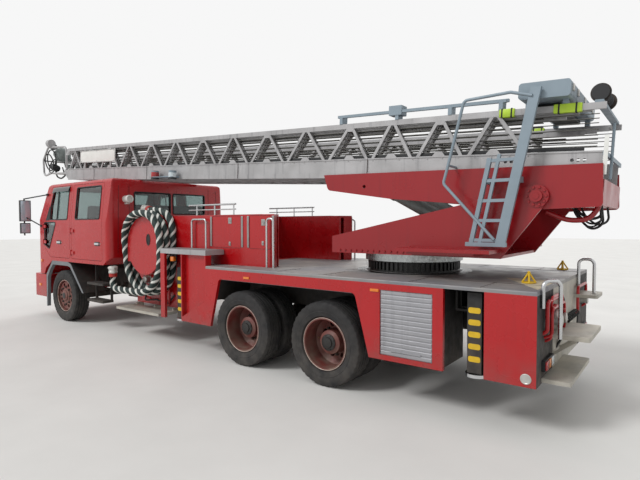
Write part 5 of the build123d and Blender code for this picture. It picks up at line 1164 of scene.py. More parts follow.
class FIRE_OT_pump_side(bpy.types.Operator):
    """Gauges, outlets, valves and pipes on the pump's sides, and the cowl's hand hole"""
    bl_idname = "fire_engine.pump_side"
    bl_label = "Pump Side"

    WALL = 0.85
    # Place along, height and radius
    GAUGES = ((2.64, 1.12, 0.052), (2.50, 1.12, 0.052), (2.37, 1.13, 0.036))
    OUTLETS = ((2.58, 0.90, 0.048), (2.36, 0.90, 0.048), (2.10, 0.86, 0.075))
    # Distance out and share of the outlet's radius
    OUTLET = ((0, 1.35), (0.012, 1.35), (0.014, 1), (0.07, 1), (0.074, 1.12), (0.10, 1.12), (0.104, 0.9))
    LUG_TURNS = (0.6, 2.69, 4.79)
    PIPES = (2.22, 1.98)
    # Place along, distance out and height
    PIPE = ((0.0, 0.0, 1.20), (0.0, 0.05, 1.18), (0.0, 0.05, 0.62), (0.08, 0.0, 0.52))
    LOW_HOSE = ((2.70, 0.0, 0.62), (2.62, 0.07, 0.56), (2.3, 0.06, 0.60), (2.04, 0.05, 0.55),
                (1.9, 0.0, 0.70))
    HAND_HOLE = (2.178, 1.576)
    COWL = (2.297, 1.478, 0.4565)

    def execute(self, context):
        for side, sign in SIDES:
            shape = Shape()
            out = Y * sign
            wall = sign * self.WALL
            for x, z, radius in self.GAUGES:
                self.gauge(shape, at(x, wall, z), out, radius)
            for x, z, radius in self.OUTLETS:
                self.outlet(shape, at(x, wall, z), out, radius)
            shape.index = 4
            for x in self.PIPES:
                route = [at(x + dx, wall + sign * dy, z) for dx, dy, z in self.PIPE]
                shape.tube(rounded(route, 0.04), 0.02, 12)
            shape.index = 5
            route = [at(x, wall + sign * dy, z) for x, dy, z in self.LOW_HOSE]
            shape.tube(rounded(route, 0.1), 0.014, 10)
            shape.finish(f"pump_gauges_and_valves_{side}", "root", "cast", "white", "ruby", "brass", "enamel",
                         "gasket")
        self.cowl_mark()
        return {"FINISHED"}

    def gauge(self, shape, centre, out, radius):
        """A rim, a white dial and a red needle."""
        shape.index = 0
        rim = [(a, radius + r) for a, r in ((0, 0.004), (0.028, 0.004), (0.032, -0.002), (0.026, -0.006))]
        shape.spin(rim + [(0.026, 0.002)], centre, out, 32)
        shape.index = 1
        shape.disc(centre + out * 0.0255, out, radius - 0.007, 0.0022, 28)
        shape.index = 2
        hub = centre + out * 0.0285
        shape.tube([hub, hub + Vector((-radius * 0.55, 0, radius * 0.3))], 0.0016, 6)

    def outlet(self, shape, centre, out, radius):
        """A capped outlet with three lugs, and a bent brass lever over it."""
        shape.index = 0
        shape.spin([(a, radius * share) for a, share in self.OUTLET] + [(0.104, 0.002)], centre, out, 32)
        for turn in self.LUG_TURNS:
            arm = Vector((math.cos(turn), 0, math.sin(turn)))
            shape.disc(centre + out * 0.088 + arm * radius, arm, 0.010, 0.02, 10)
        shape.index = 3
        lever = [centre + out * reach + Z * (radius + rise)
                 for reach, rise in ((0.04, 0), (0.04, 0.05), (0.10, 0.07))]
        shape.tube(rounded(lever, 0.02), 0.007, 8)
        shape.disc(lever[-1], out, 0.016, 0.02, 14)

    def cowl_mark(self):
        """A rubber-edged oval hand hole, and the bead round the cowl's face."""
        shape = Shape()
        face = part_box("pump_body")[1].y
        x, z = self.HAND_HOLE
        ring = circle(at(x, face, z), X * 0.045, Z * 0.085, 36)
        shape.tube(ring, 0.008, 8, closed=True)
        count = len(ring)
        cover = [p + Y * 0.001 for p in ring + [at(x, face, z)]]
        shape._faces(cover, [(n, (n + 1) % count, count) for n in range(count)])
        shape.index = 1
        x, spring, radius = self.COWL
        turns = [math.pi * n / 40 for n in range(41)]
        arch = [at(x + radius * math.cos(a), face, spring + radius * math.sin(a)) for a in turns]
        bead = [at(x + radius, face, 1.22)] + arch + [at(x - radius, face, 1.48)]
        shape.tube(bead, 0.006, 8)
        shape.finish("cowl_bead_and_hand_hole", "root", "gasket", "enamel")


class FIRE_OT_locker_trim(bpy.types.Operator):
    """Hinge strips, latches, shut lines and tread plates of the upper locker and the ledge"""
    bl_idname = "fire_engine.locker_trim"
    bl_label = "Locker Trim"

    DOOR_Z = (1.50, 1.925)
    STRIPS = (0.947, 0.307, 0.192, -0.266)
    LATCHES = ((0.55, 1.865), (-0.09, 1.838))
    LOCKS = ((0.555, 1.545), (-0.082, 1.565))
    DOORS = ((0.335, 0.915), (-0.235, 0.165))
    LATCH_CUP = ((0.005, 0.030), (0.008, 0.029), (0.009, 0.024), (0.006, 0.020), (0.006, 0.002))
    SCREWS = (1.09, 1.42, 1.75, 2.08)

    def execute(self, context):
        low, high = self.DOOR_Z
        for side, sign in SIDES:
            shape = Shape()
            for x in self.STRIPS:
                self.plate(shape, sign, x, (low + high) / 2, 0.017, (high - low) / 2, 0, 0.009)
                y = sign * (LOCKER_SIDE + 0.008)
                shape.tube([at(x, y, low + 0.01), at(x, y, high - 0.01)], 0.007, 10)
            for x, z in self.LATCHES:
                self.plate(shape, sign, x, z, 0.034, 0.042, 0, 0.006)
                centre = at(x, sign * LOCKER_SIDE, z)
                shape.spin(self.LATCH_CUP, centre, Y * sign, 28)
                shape.bar(centre + Vector((-0.02, sign * 0.010, -0.006)),
                          centre + Vector((0.02, sign * 0.010, 0.008)), 0.012, 0.008)
            for x, z in self.LOCKS:
                self.plate(shape, sign, x, z, 0.018, 0.028, 0, 0.008)
                self.plate(shape, sign, x, z, 0.012, 0.006, 0.006, 0.018)
            shape.index = 1
            y = sign * (LOCKER_SIDE - 0.0008)
            for x0, x1 in self.DOORS:
                corners = ((x0, low - 0.012), (x1, low - 0.012), (x1, high + 0.004), (x0, high + 0.004))
                shape.tube(loop([at(x, y, z) for x, z in corners], 0.02, 4), 0.0028, 6, closed=True)
            shape.finish(f"locker_strips_and_latches_{side}", "root", "strip", "seam")
        self.plates()
        return {"FINISHED"}

    def plate(self, shape, sign, x, z, half_width, half_height, near, far):
        """A small upright plate, from one distance off the locker's side to another."""
        y0, y1 = sided(sign, LOCKER_SIDE + near, LOCKER_SIDE + far)
        shape.block(at(x - half_width, y0, z - half_height), at(x + half_width, y1, z + half_height), 0.003)

    def plates(self):
        """Tread plates on the locker's top and side arms, and on the ledges."""
        shape = Shape()
        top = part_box("upper_locker")[1].z
        shape.block(at(1.07, -0.84, top), at(2.10, 0.84, top + 0.004), 0.001)
        for sign in (1, -1):
            for x0, x1, near, far, z0, z1 in ((0.02, 1.05, 0.715, 0.86, top, top + 0.004),
                                              (0.69, 1.70, 0.93, 1.225, 1.46, 1.4635)):
                y0, y1 = sided(sign, near, far)
                shape.block(at(x0, y0, z0), at(x1, y1, z1), 0.001)
            for x in self.SCREWS:
                shape.disc(at(x, sign * 0.825, top + 0.004), Z, 0.007, 0.002, 10)
        shape.finish("locker_tread_plates", "root", "deck")


class FIRE_OT_deck_trim(bpy.types.Operator):
    """Seams, rivets, a painted patch of sunlight on the rear of the deck, and two markers of the deck"""
    bl_idname = "fire_engine.deck_trim"
    bl_label = "Deck Trim"

    SEAMS = (0.30, -0.62, -1.30, -2.35, -3.05)
    SEAM_ENDS = ((-1.22, -0.78), (0.78, 1.22))
    SEAM_RIVETS = 5
    RIVET = ((0, 0.006), (0.002, 0.004), (0.0025, 0.001))
    # Outline of the painted sunlight on the deck's rear.
    SUNLIT_PATCH = ((-3.50, 0.30), (-3.003, 0.308), (-3.288, 0.753), (-3.50, 1.10))
    MARKERS = ((-3.323, 0.669), (-3.305, -0.983))
    MARKER_R = 0.06
    MARKER_TOP = ((-0.014, 0.004), (-0.008, 0.013), (0.004, 0.014), (0.011, 0.008), (0.012, 0.002))

    def execute(self, context):
        shape = Shape()
        for x in self.SEAMS:
            for y0, y1 in self.SEAM_ENDS:
                shape.tube([at(x, y0, DECK_TOP), at(x, y1, DECK_TOP)], 0.0028, 6)
                for n in range(self.SEAM_RIVETS):
                    y = y0 + (y1 - y0) * (n + 0.5) / self.SEAM_RIVETS
                    shape.spin(self.RIVET, at(x - 0.02, y, DECK_TOP - 0.0004), Z, 8)
        for y in (-0.80, 0.80):
            shape.tube([at(-3.49, y, DECK_TOP), at(-2.55, y, DECK_TOP)], 0.0028, 6)
        # A cream sheet on the deck's rear that is painted sunlight.
        shape.index = 1
        shape.prism([(x + AXLE, y) for x, y in self.SUNLIT_PATCH], 2, DECK_TOP - 0.001, DECK_TOP + 0.0012)
        shape.index = 2
        for x, y in self.MARKERS:
            apex = at(x, y, DECK_TOP + 0.105)
            corners = circle(at(x, y, DECK_TOP + 0.009), X * self.MARKER_R, Y * self.MARKER_R, 4, 0.3)
            shape.tube(loop(corners, 0.012, 4), 0.009, 8, closed=True)
            for corner in corners:
                shape.tube([corner, apex], 0.009, 8)
            shape.spin(self.MARKER_TOP, apex, Z, 16)
        shape.finish("deck_seams_sunlight_and_markers", "root", "seam", "sunlit_deck_patch", "yellow")
        return {"FINISHED"}


class FIRE_OT_ladder_lines(bpy.types.Operator):
    """Wire ropes, sheaves, gussets, rivets, rung sleeves and the blank side plates of the ladder"""
    bl_idname = "fire_engine.ladder_lines"
    bl_label = "Ladder Lines"

    # Where the lattice meets the lower chord of the base section
    NODES = [0.449 + 0.572 * n for n in range(3)] + [2.165 + 0.685 * n for n in range(10)]
    # Each section's name, body, distance out, and where its ropes start and end
    ROPED = (("base", "boom", 0.5915, -0.45, 8.55), ("second", "second_section", 0.5565, 0.02, 8.9),
             ("third", "third_section", 0.5215, 0.02, 9.25))
    ROPE_HEIGHTS = (0.452, 0.476, 0.512, 0.548, 0.60, 0.655, 0.695, 0.735)
    ROPE_R = 0.0048
    ROPE_SAG = 0.006
    ROPE_STEPS = 12
    SHEAVES = (0.47, 0.70)
    SHEAVE = ((0, 0.045), (0.003, 0.048), (0.0055, 0.040), (0.008, 0.048), (0.011, 0.045))
    LOW_GUSSET = ((-0.075, 0.405), (0.075, 0.405), (0.035, 0.455), (-0.035, 0.455))
    HIGH_GUSSET = ((-0.06, 0.775), (0.06, 0.775), (0.03, 0.735), (-0.03, 0.735))
    RIVET = ((0, 0.0065), (0.0018, 0.0048), (0.0024, 0.001))
    RIVET_ROWS = (0.205, 0.385)
    RIVET_START, RIVET_END, RIVET_PITCH = 0.12, 8.9, 0.1716
    PLATE_SEAMS = (1.9, 4.1, 6.4, 8.2)
    GRIP_START, GRIP_END, GRIP_PITCH = -0.05, 9.55, 0.35
    GRIPS = ((-0.40, -0.06), (0.06, 0.40))
    GRIP_R = (0.0145, 0.0172, 0.0168, 0.0172, 0.0145)
    GRIP_SHARES = (0, 0.02, 0.5, 0.98, 1)
    SIGN_U = (7.42, 8.74)
    SIGN_W = (0.515, 0.755)

    def execute(self, context):
        self.ropes()
        self.gussets()
        self.sleeves()
        self.side_plate()
        return {"FINISHED"}

    def ropes(self):
        """Ropes, sheaves, and a black strip inside each section's sides that is painted shade between the
        sections.
        """
        for name, body, y, start, end in self.ROPED:
            shape = Shape()
            for sign in (1, -1):
                for w in self.ROPE_HEIGHTS:
                    shares = [n / self.ROPE_STEPS for n in range(self.ROPE_STEPS + 1)]
                    shape.tube([on_boom(start + (end - start) * share, sign * y,
                                        w - self.ROPE_SAG * math.sin(math.pi * share)) for share in shares],
                               self.ROPE_R, 6)
            for sign in (1, -1):
                shape.index = 1
                for w in self.SHEAVES:
                    shape.spin(self.SHEAVE, on_boom(end, sign * y - 0.0055, w), Y, 28)
                # A black strip low in the gap between the sections, as painted shade.
                shape.index = 2
                near, far = sided(sign, y - 0.004, y + 0.004)
                shape.boom_block((start + 0.1, near, 0.415), (end - 0.1, far, 0.446), 0.001)
            shape.finish(f"ladder_ropes_and_shade_strip_{name}", body, "rope", "iron", "black_plastic")

    def gussets(self):
        """Plates where the lattice meets the chord and the rail, rivets, and seams in the chord's plate."""
        shape = Shape()
        rivets = math.ceil((self.RIVET_END - self.RIVET_START) / self.RIVET_PITCH)
        for sign in (1, -1):
            near, far = sided(sign, 0.5990, 0.6192)
            for n, u in enumerate(self.NODES):
                for outline in (self.LOW_GUSSET, self.HIGH_GUSSET)[:1 + n % 2]:
                    shape.boom_plate([(u + du, w) for du, w in outline], near, far)
            for n in range(rivets):
                for w in self.RIVET_ROWS:
                    spot = on_boom(self.RIVET_START + self.RIVET_PITCH * n, sign * 0.6199, w)
                    shape.spin(self.RIVET, spot, (0, sign, 0), 8)
            shape.index = 1
            near, far = sided(sign, 0.6195, 0.6225)
            for u in self.PLATE_SEAMS:
                shape.boom_block((u - 0.004, near, 0.185), (u + 0.004, far, 0.405), 0.001)
        shape.finish("ladder_gussets_and_rivets", "boom", "silver", "seam")

    def sleeves(self):
        """Ribbed rubber grips on the innermost section's rungs."""
        shape = Shape()
        for n in range(math.ceil((self.GRIP_END - self.GRIP_START) / self.GRIP_PITCH)):
            u = self.GRIP_START + self.GRIP_PITCH * n
            for y0, y1 in self.GRIPS:
                a, b = on_boom(u, y0, 0.302), on_boom(u, y1, 0.302)
                shape.tube([a.lerp(b, share) for share in self.GRIP_SHARES], 0, 10, radii=self.GRIP_R)
        shape.finish("rung_sleeves", "fly_section", "gasket")

    def side_plate(self):
        """The plain plate on the base section's flank, with its edge frame and screws."""
        (u0, u1), (w0, w1), rim = self.SIGN_U, self.SIGN_W, 0.01
        corners = ((u0 + rim, w0 + rim), (u1 - rim, w0 + rim), (u1 - rim, w1 - rim), (u0 + rim, w1 - rim))
        for side, sign in SIDES:
            shape = Shape()
            near, far = sided(sign, 0.6205, 0.6265)
            shape.boom_block((u0, near, w0), (u1, far, w1), 0.0015)
            shape.index = 1
            edge = [on_boom(u, sign * 0.6265, w) for u, w in corners]
            shape.tube(loop(edge, 0.02, 4), 0.006, 8, closed=True)
            for u in (u0 + 0.05, (u0 + u1) / 2, u1 - 0.05):
                for w in (w0 + 0.025, w1 - 0.025):
                    shape.disc(on_boom(u, sign * 0.626, w), (0, sign, 0), 0.009, 0.004, 12)
            near, far = sided(sign, 0.598, 0.6207)
            for u in (u0 + 0.18, u1 - 0.18):
                shape.boom_block((u - 0.02, near, 0.40), (u + 0.02, far, 0.78), 0.002)
            shape.finish(f"ladder_side_plate_{side}", "boom", "white", "silver")


class FIRE_OT_boom_top(bpy.types.Operator):
    """Winch box, reel cable, warning sleeves, beacon, lamp and cable loops on the boom"""
    bl_idname = "fire_engine.boom_top"
    bl_label = "Boom Top"

    LATCHES = (-0.42, 0.05, 0.42, 0.66)
    LATCH_FACES = ((0.203, 0.215), (-0.246, -0.233))
    HANDLES = (-0.3, 0.35)
    HANDLE = ((-0.09, 1.029), (-0.09, 1.062), (0.09, 1.062), (0.09, 1.029))
    REEL_CENTRE = (-0.44, 0.925)
    REEL_ENDS = (0.150, 0.530)
    REEL_FLANGES = (0.128, 0.545)
    REEL_TURNS = 11
    CABLE_COIL_R = 0.052
    # Where a sleeve starts and ends, and on which sides
    SLEEVES = ((0.264, 0.414, (1, -1)), (-0.315, -0.075, (1,)))
    # Each lamp's place along the boom, its finish and its height
    LAMPS = ((6.01, 0, 0.142), (5.53, 1, 0.128))
    LAMP_FOOT = ((-0.004, 0.0665), (0.022, 0.0665), (0.026, 0.0635), (0.026, 0.002))
    LAMP_RIBS = 5
    # Distance across, lowest point and radius of each cable
    CABLES = ((0.20, -0.30, 0.011), (0.25, -0.25, 0.009), (0.30, -0.20, 0.013), (-0.2, -0.26, 0.011),
              (0.34, -0.28, 0.008))
    HYDRAULIC_HOSE = ((-0.06, -0.14), (-0.24, -0.215), (-0.42, -0.20), (-0.50, -0.06), (-0.50, 0.10))
    BOLTS = 9

    def execute(self, context):
        self.winch_box()
        self.reel()
        self.sleeves()
        self.beacon()
        self.cables()
        self.strips()
        return {"FINISHED"}

    def winch_box(self):
        """The band under the cover, its latches and its two handles."""
        shape = Shape()
        shape.boom_block((-0.12, -0.50, 0.836), (0.12, 0.50, 0.8785), 0.012)
        shape.index = 1
        for y in self.LATCHES:
            for near, far in self.LATCH_FACES:
                shape.boom_block((near, y - 0.03, 0.94), (far, y + 0.03, 1.0), 0.003)
        for y in self.HANDLES:
            handle = [on_boom(-0.02, y + dy, w) for dy, w in self.HANDLE]
            shape.tube(rounded(handle, 0.02, 5), 0.007, 10)
        shape.finish("winch_box_and_latches", "boom", "black_plastic", "cast")

    def reel(self):
        """Cable wound on the reel, between two flanges."""
        reel = Shape()
        (u, w), (start, end) = self.REEL_CENTRE, self.REEL_ENDS
        steps, radius = self.REEL_TURNS * 20, self.CABLE_COIL_R
        reel.tube(coil(on_boom(u, start, w), ALONG * radius, ABOVE * radius, Y * ((end - start) / steps),
                       steps + 1), 0.0095, 6)
        reel.index = 1
        for y in self.REEL_FLANGES:
            reel.disc(on_boom(u, y, w), Y, 0.083, 0.007, 36)
        reel.finish("reel_cable", "boom", "cable", "iron")

    def sleeves(self):
        """Fluorescent padding tied round the top rails near the basket step."""
        shape = Shape()
        for u0, u1, signs in self.SLEEVES:
            for sign in signs:
                y0, y1 = sided(sign, 0.578, 0.632)
                shape.index = 0
                shape.boom_block((u0, y0, 0.757), (u1, y1, 0.842), 0.016)
                shape.index = 1
                for share in (0.2, 0.8):
                    u = u0 + (u1 - u0) * share
                    shape.boom_block((u - 0.008, y0 - 0.002, 0.755), (u + 0.008, y1 + 0.002, 0.844), 0.004)
        shape.finish("warning_sleeves", "boom", "lime", "gasket")

    def beacon(self):
        """The red beacon and the clear lamp behind it, each with its ribs."""
        shape = Shape()
        for u, finish, tall in self.LAMPS:
            foot = on_boom(u, 0.71, 0.178)
            shape.index = 2
            shape.spin(self.LAMP_FOOT, foot, ABOVE, 36)
            shape.index = finish
            shape.spin([(0.024, 0.0635), (0.05, 0.0645), (tall * 0.72, 0.0645), (tall * 0.88, 0.058),
                        (tall * 0.97, 0.040), (tall, 0.002)], foot, ABOVE, 36)
            for n in range(self.LAMP_RIBS):
                ring = circle(foot + ABOVE * (0.04 + 0.014 * n), ALONG * 0.0655, Y * 0.0655, 32)
                shape.tube(ring, 0.0018, 6, closed=True)
        shape.finish("beacon_and_side_lamp", "boom", "ruby", "clear", "black_plastic")

    def cables(self):
        """Cable loops and a hydraulic hose that hang below the boom's rear end."""
        shape = Shape()
        for y, low, radius in self.CABLES:
            route = ((-0.36, 1, 0.10), (-0.46, 1, 0.02), (-0.50, 1, low * 0.8), (-0.40, 0.96, low),
                     (-0.27, 0.9, low * 0.6), (-0.20, 0.9, 0.06))
            shape.tube(rounded([on_boom(u, y * share, w) for u, share, w in route], 0.3, 8), radius, 10)
        shape.index = 1
        route = [on_boom(u, 0.50, w) for u, w in self.HYDRAULIC_HOSE]
        shape.tube(rounded(route, 0.3, 8), 0.024, 14)
        shape.finish("boom_cable_loops", "boom", "gasket", "boom_enamel_and_shade")

    def strips(self):
        """A white strip at the boom's rear edge, and a row of bolts on each flank."""
        shape = Shape()
        shape.boom_block((-0.540, 0.6205, 0.20), (-0.505, 0.6245, 0.54), 0.001)
        shape.index = 1
        for n in range(self.BOLTS):
            for sign in (1, -1):
                shape.nut(on_boom(-0.10 + 0.11 * n, sign * 0.6195, 0.245), (0, sign, 0), 0.018, 0.009)
        shape.finish("boom_strip_and_bolts", "boom", "white", "iron")


class FIRE_OT_turntable(bpy.types.Operator):
    """Bolts, the grease on the deck and the console's controls"""
    bl_idname = "fire_engine.turntable"
    bl_label = "Turntable"

    FOOT_BOLTS = 12
    PIVOT_BOLTS = 10
    PIVOT_CIRCLE = 0.083
    RING_BOLTS = 28
    RING_CIRCLE = 0.535
    RING_TOP = 1.3795
    # Outer radius and width of each grease mark on the deck
    GREASE = ((0.66, 0.075), (0.70, 0.03))
    LEVERS = (-0.97, -0.92, -0.87, -0.82)
    KNOB = ((0, 0.006), (0.006, 0.013), (0.018, 0.0145), (0.028, 0.009), (0.031, 0.002))
    DIALS = (-0.95, -0.88, -0.80)
    DIAL = ((-0.004, 0.03), (0.006, 0.03), (0.008, 0.026), (0.005, 0.024), (0.005, 0.002))
    BUTTONS = 8
    DESK_SLOPE = 0.25

    def execute(self, context):
        self.frame_bolts()
        self.ring_marks()
        self.console()
        return {"FINISHED"}

    def frame_bolts(self):
        """Bolts along the foot of both side plates and round the boom's pivot."""
        shape = Shape()
        for sign in (1, -1):
            out = Y * sign
            for n in range(self.FOOT_BOLTS):
                self.bolt(shape, at(-1.16 - 0.077 * n, sign * 0.6798, 1.503), out)
            boss = Vector((PIVOT.x, sign * 0.6915, PIVOT.z))
            for spot in circle(boss, X * self.PIVOT_CIRCLE, Z * self.PIVOT_CIRCLE, self.PIVOT_BOLTS):
                self.bolt(shape, spot, out)
            shape.disc(Vector((PIVOT.x, sign * 0.7195, PIVOT.z)), out, 0.03, 0.006, 24)
        shape.finish("turntable_bolts", "turret", "boom_enamel_and_shade")

    def ring_marks(self):
        """Bolt heads of the slew ring, and grease worn into the deck round it."""
        ring = Shape()
        centre, radius = Vector((SLEW.x, SLEW.y, self.RING_TOP)), self.RING_CIRCLE
        for spot in circle(centre, X * radius, Y * radius, self.RING_BOLTS, math.pi / self.RING_BOLTS):
            ring.nut(spot, Z, 0.022, 0.0008)
        ring.index = 1
        for radius, wide in self.GREASE:
            inner = radius - wide
            ring.spin([(-0.0005, inner), (0.0016, inner), (0.0016, radius), (-0.0005, radius)],
                      Vector((SLEW.x, SLEW.y, DECK_TOP)), Z, 72, closed=True)
        ring.finish("grease_on_deck", "root", "ring", "grease")

    def bolt(self, shape, spot, out):
        """A washer and a bolt head."""
        shape.disc(spot, out, sizes().bolt * 0.62, 0.003, 12)
        shape.nut(spot, out, sizes().bolt, 0.013)

    def console(self):
        """Levers with knobs, gauges and switches on the sloping desk."""
        shape = Shape()
        square = Vector((self.DESK_SLOPE, 0, 1))

        def desk(x, y, out=0.0):
            return at(x, y, 2.245 - (x + 2.56) * self.DESK_SLOPE + out)

        for y in self.LEVERS:
            foot = desk(-2.42, y)
            shape.index = 0
            shape.tube([foot - Z * 0.006, foot + Vector((0.01, 0, 0.07))], 0.005, 8)
            shape.index = 1
            shape.spin(self.KNOB, foot + Vector((0.01, 0, 0.066)), (0.14, 0, 1), 16)
        shape.index = 2
        for y in self.DIALS:
            shape.spin(self.DIAL, desk(-2.30, y), square, 24)
        shape.index = 3
        for n in range(self.BUTTONS):
            shape.disc(desk(-2.50, -0.98 + 0.031 * n, -0.002), square, 0.009, 0.010, 12)
        shape.finish("console_levers_and_gauges", "turret", "chrome", "black_plastic", "cast", "ruby")


class FIRE_OT_tip(bpy.types.Operator):
    """Nozzle fittings, hoses and lamp at the ladder's tip"""
    bl_idname = "fire_engine.tip"
    bl_label = "Ladder Tip"

    # Place across, radius, sides, and the (x, z) points of each hose that hangs under the nozzle
    HOSES = ((0.26, 0.017, 12, ((6.65, 3.10), (6.73, 2.94), (6.95, 2.87), (7.17, 2.93), (7.23, 3.10))),
             (0.12, 0.013, 10, ((6.78, 3.16), (6.88, 2.98), (7.09, 2.98), (7.19, 3.16))),
             (-0.16, 0.015, 10, ((7.25, 3.12), (7.27, 2.98), (7.03, 2.93), (6.79, 3.05))))
    # Centre, size and lean of each hose coiled beside it
    COILS = ((7.12, 0.44, 3.24, 0.185, 0.2), (7.13, 0.36, 3.16, 0.155, -0.25),
             (7.10, 0.40, 3.32, 0.205, 0.05), (7.11, 0.02, 3.26, 0.18, 0.15))
    FILTER = ((0, 0.05), (0.004, 0.075), (0.03, 0.085), (0.16, 0.085), (0.185, 0.07), (0.19, 0.05),
              (0.205, 0.045), (0.205, 0.002))
    BRANCH = ((0, 0.045), (0.01, 0.055), (0.09, 0.055), (0.10, 0.045), (0.18, 0.040), (0.20, 0.052),
              (0.235, 0.052), (0.235, 0.036), (0.21, 0.03))
    NOZZLE = ((-0.20, 0.05), (-0.19, 0.09), (-0.14, 0.135), (-0.06, 0.16), (0.03, 0.162), (0.11, 0.14),
              (0.16, 0.10), (0.20, 0.085), (0.27, 0.085), (0.28, 0.07), (0.28, 0.002))
    MOTOR = ((-0.09, 0.05), (-0.08, 0.075), (0.10, 0.075), (0.12, 0.06), (0.2, 0.055), (0.2, 0.002))
    LAMP = ((0, 0.066), (0.05, 0.074), (0.075, 0.070), (0.08, 0.060), (0.08, 0.002))
    LENS = ((0.079, 0.061), (0.085, 0.045), (0.088, 0.002))
    # Finish by its number, turned outline, centre, axis and steps
    TURNED = ((0, FILTER, (7.22, 0.16, 3.30), (0, 0, 1), 36),
              (0, BRANCH, (7.07, -0.05, 3.18), (1, 0, 0.12), 32),
              (0, NOZZLE, (6.97, 0.22, 3.42), (1, 0, 0.18), 40),
              (2, MOTOR, (7.05, 0.34, 3.12), (1, 0, 0.3), 32),
              (2, LAMP, (7.17, 0.30, 3.615), (1, 0, 0.1), 32),
              (3, LENS, (7.17, 0.30, 3.615), (1, 0, 0.1), 28))

    def execute(self, context):
        shape = Shape()
        for shape.index, profile, centre, axis, steps in self.TURNED:
            shape.spin(profile, at(*centre), axis, steps)
        shape.index = 1
        for y, radius, sides, points in self.HOSES:
            shape.tube(rounded([at(x, y, z) for x, z in points], 0.25, 8), radius, sides)
        for x, y, z, big, lean in self.COILS:
            shape.tube(circle(at(x, y, z), X * big, Vector((0, lean * big, big)), 40), 0.013, 10, closed=True)
        shape.finish("tip_nozzle_and_hoses", "fly_section", "cylinder", "gasket", "black_plastic", "clear")
        return {"FINISHED"}


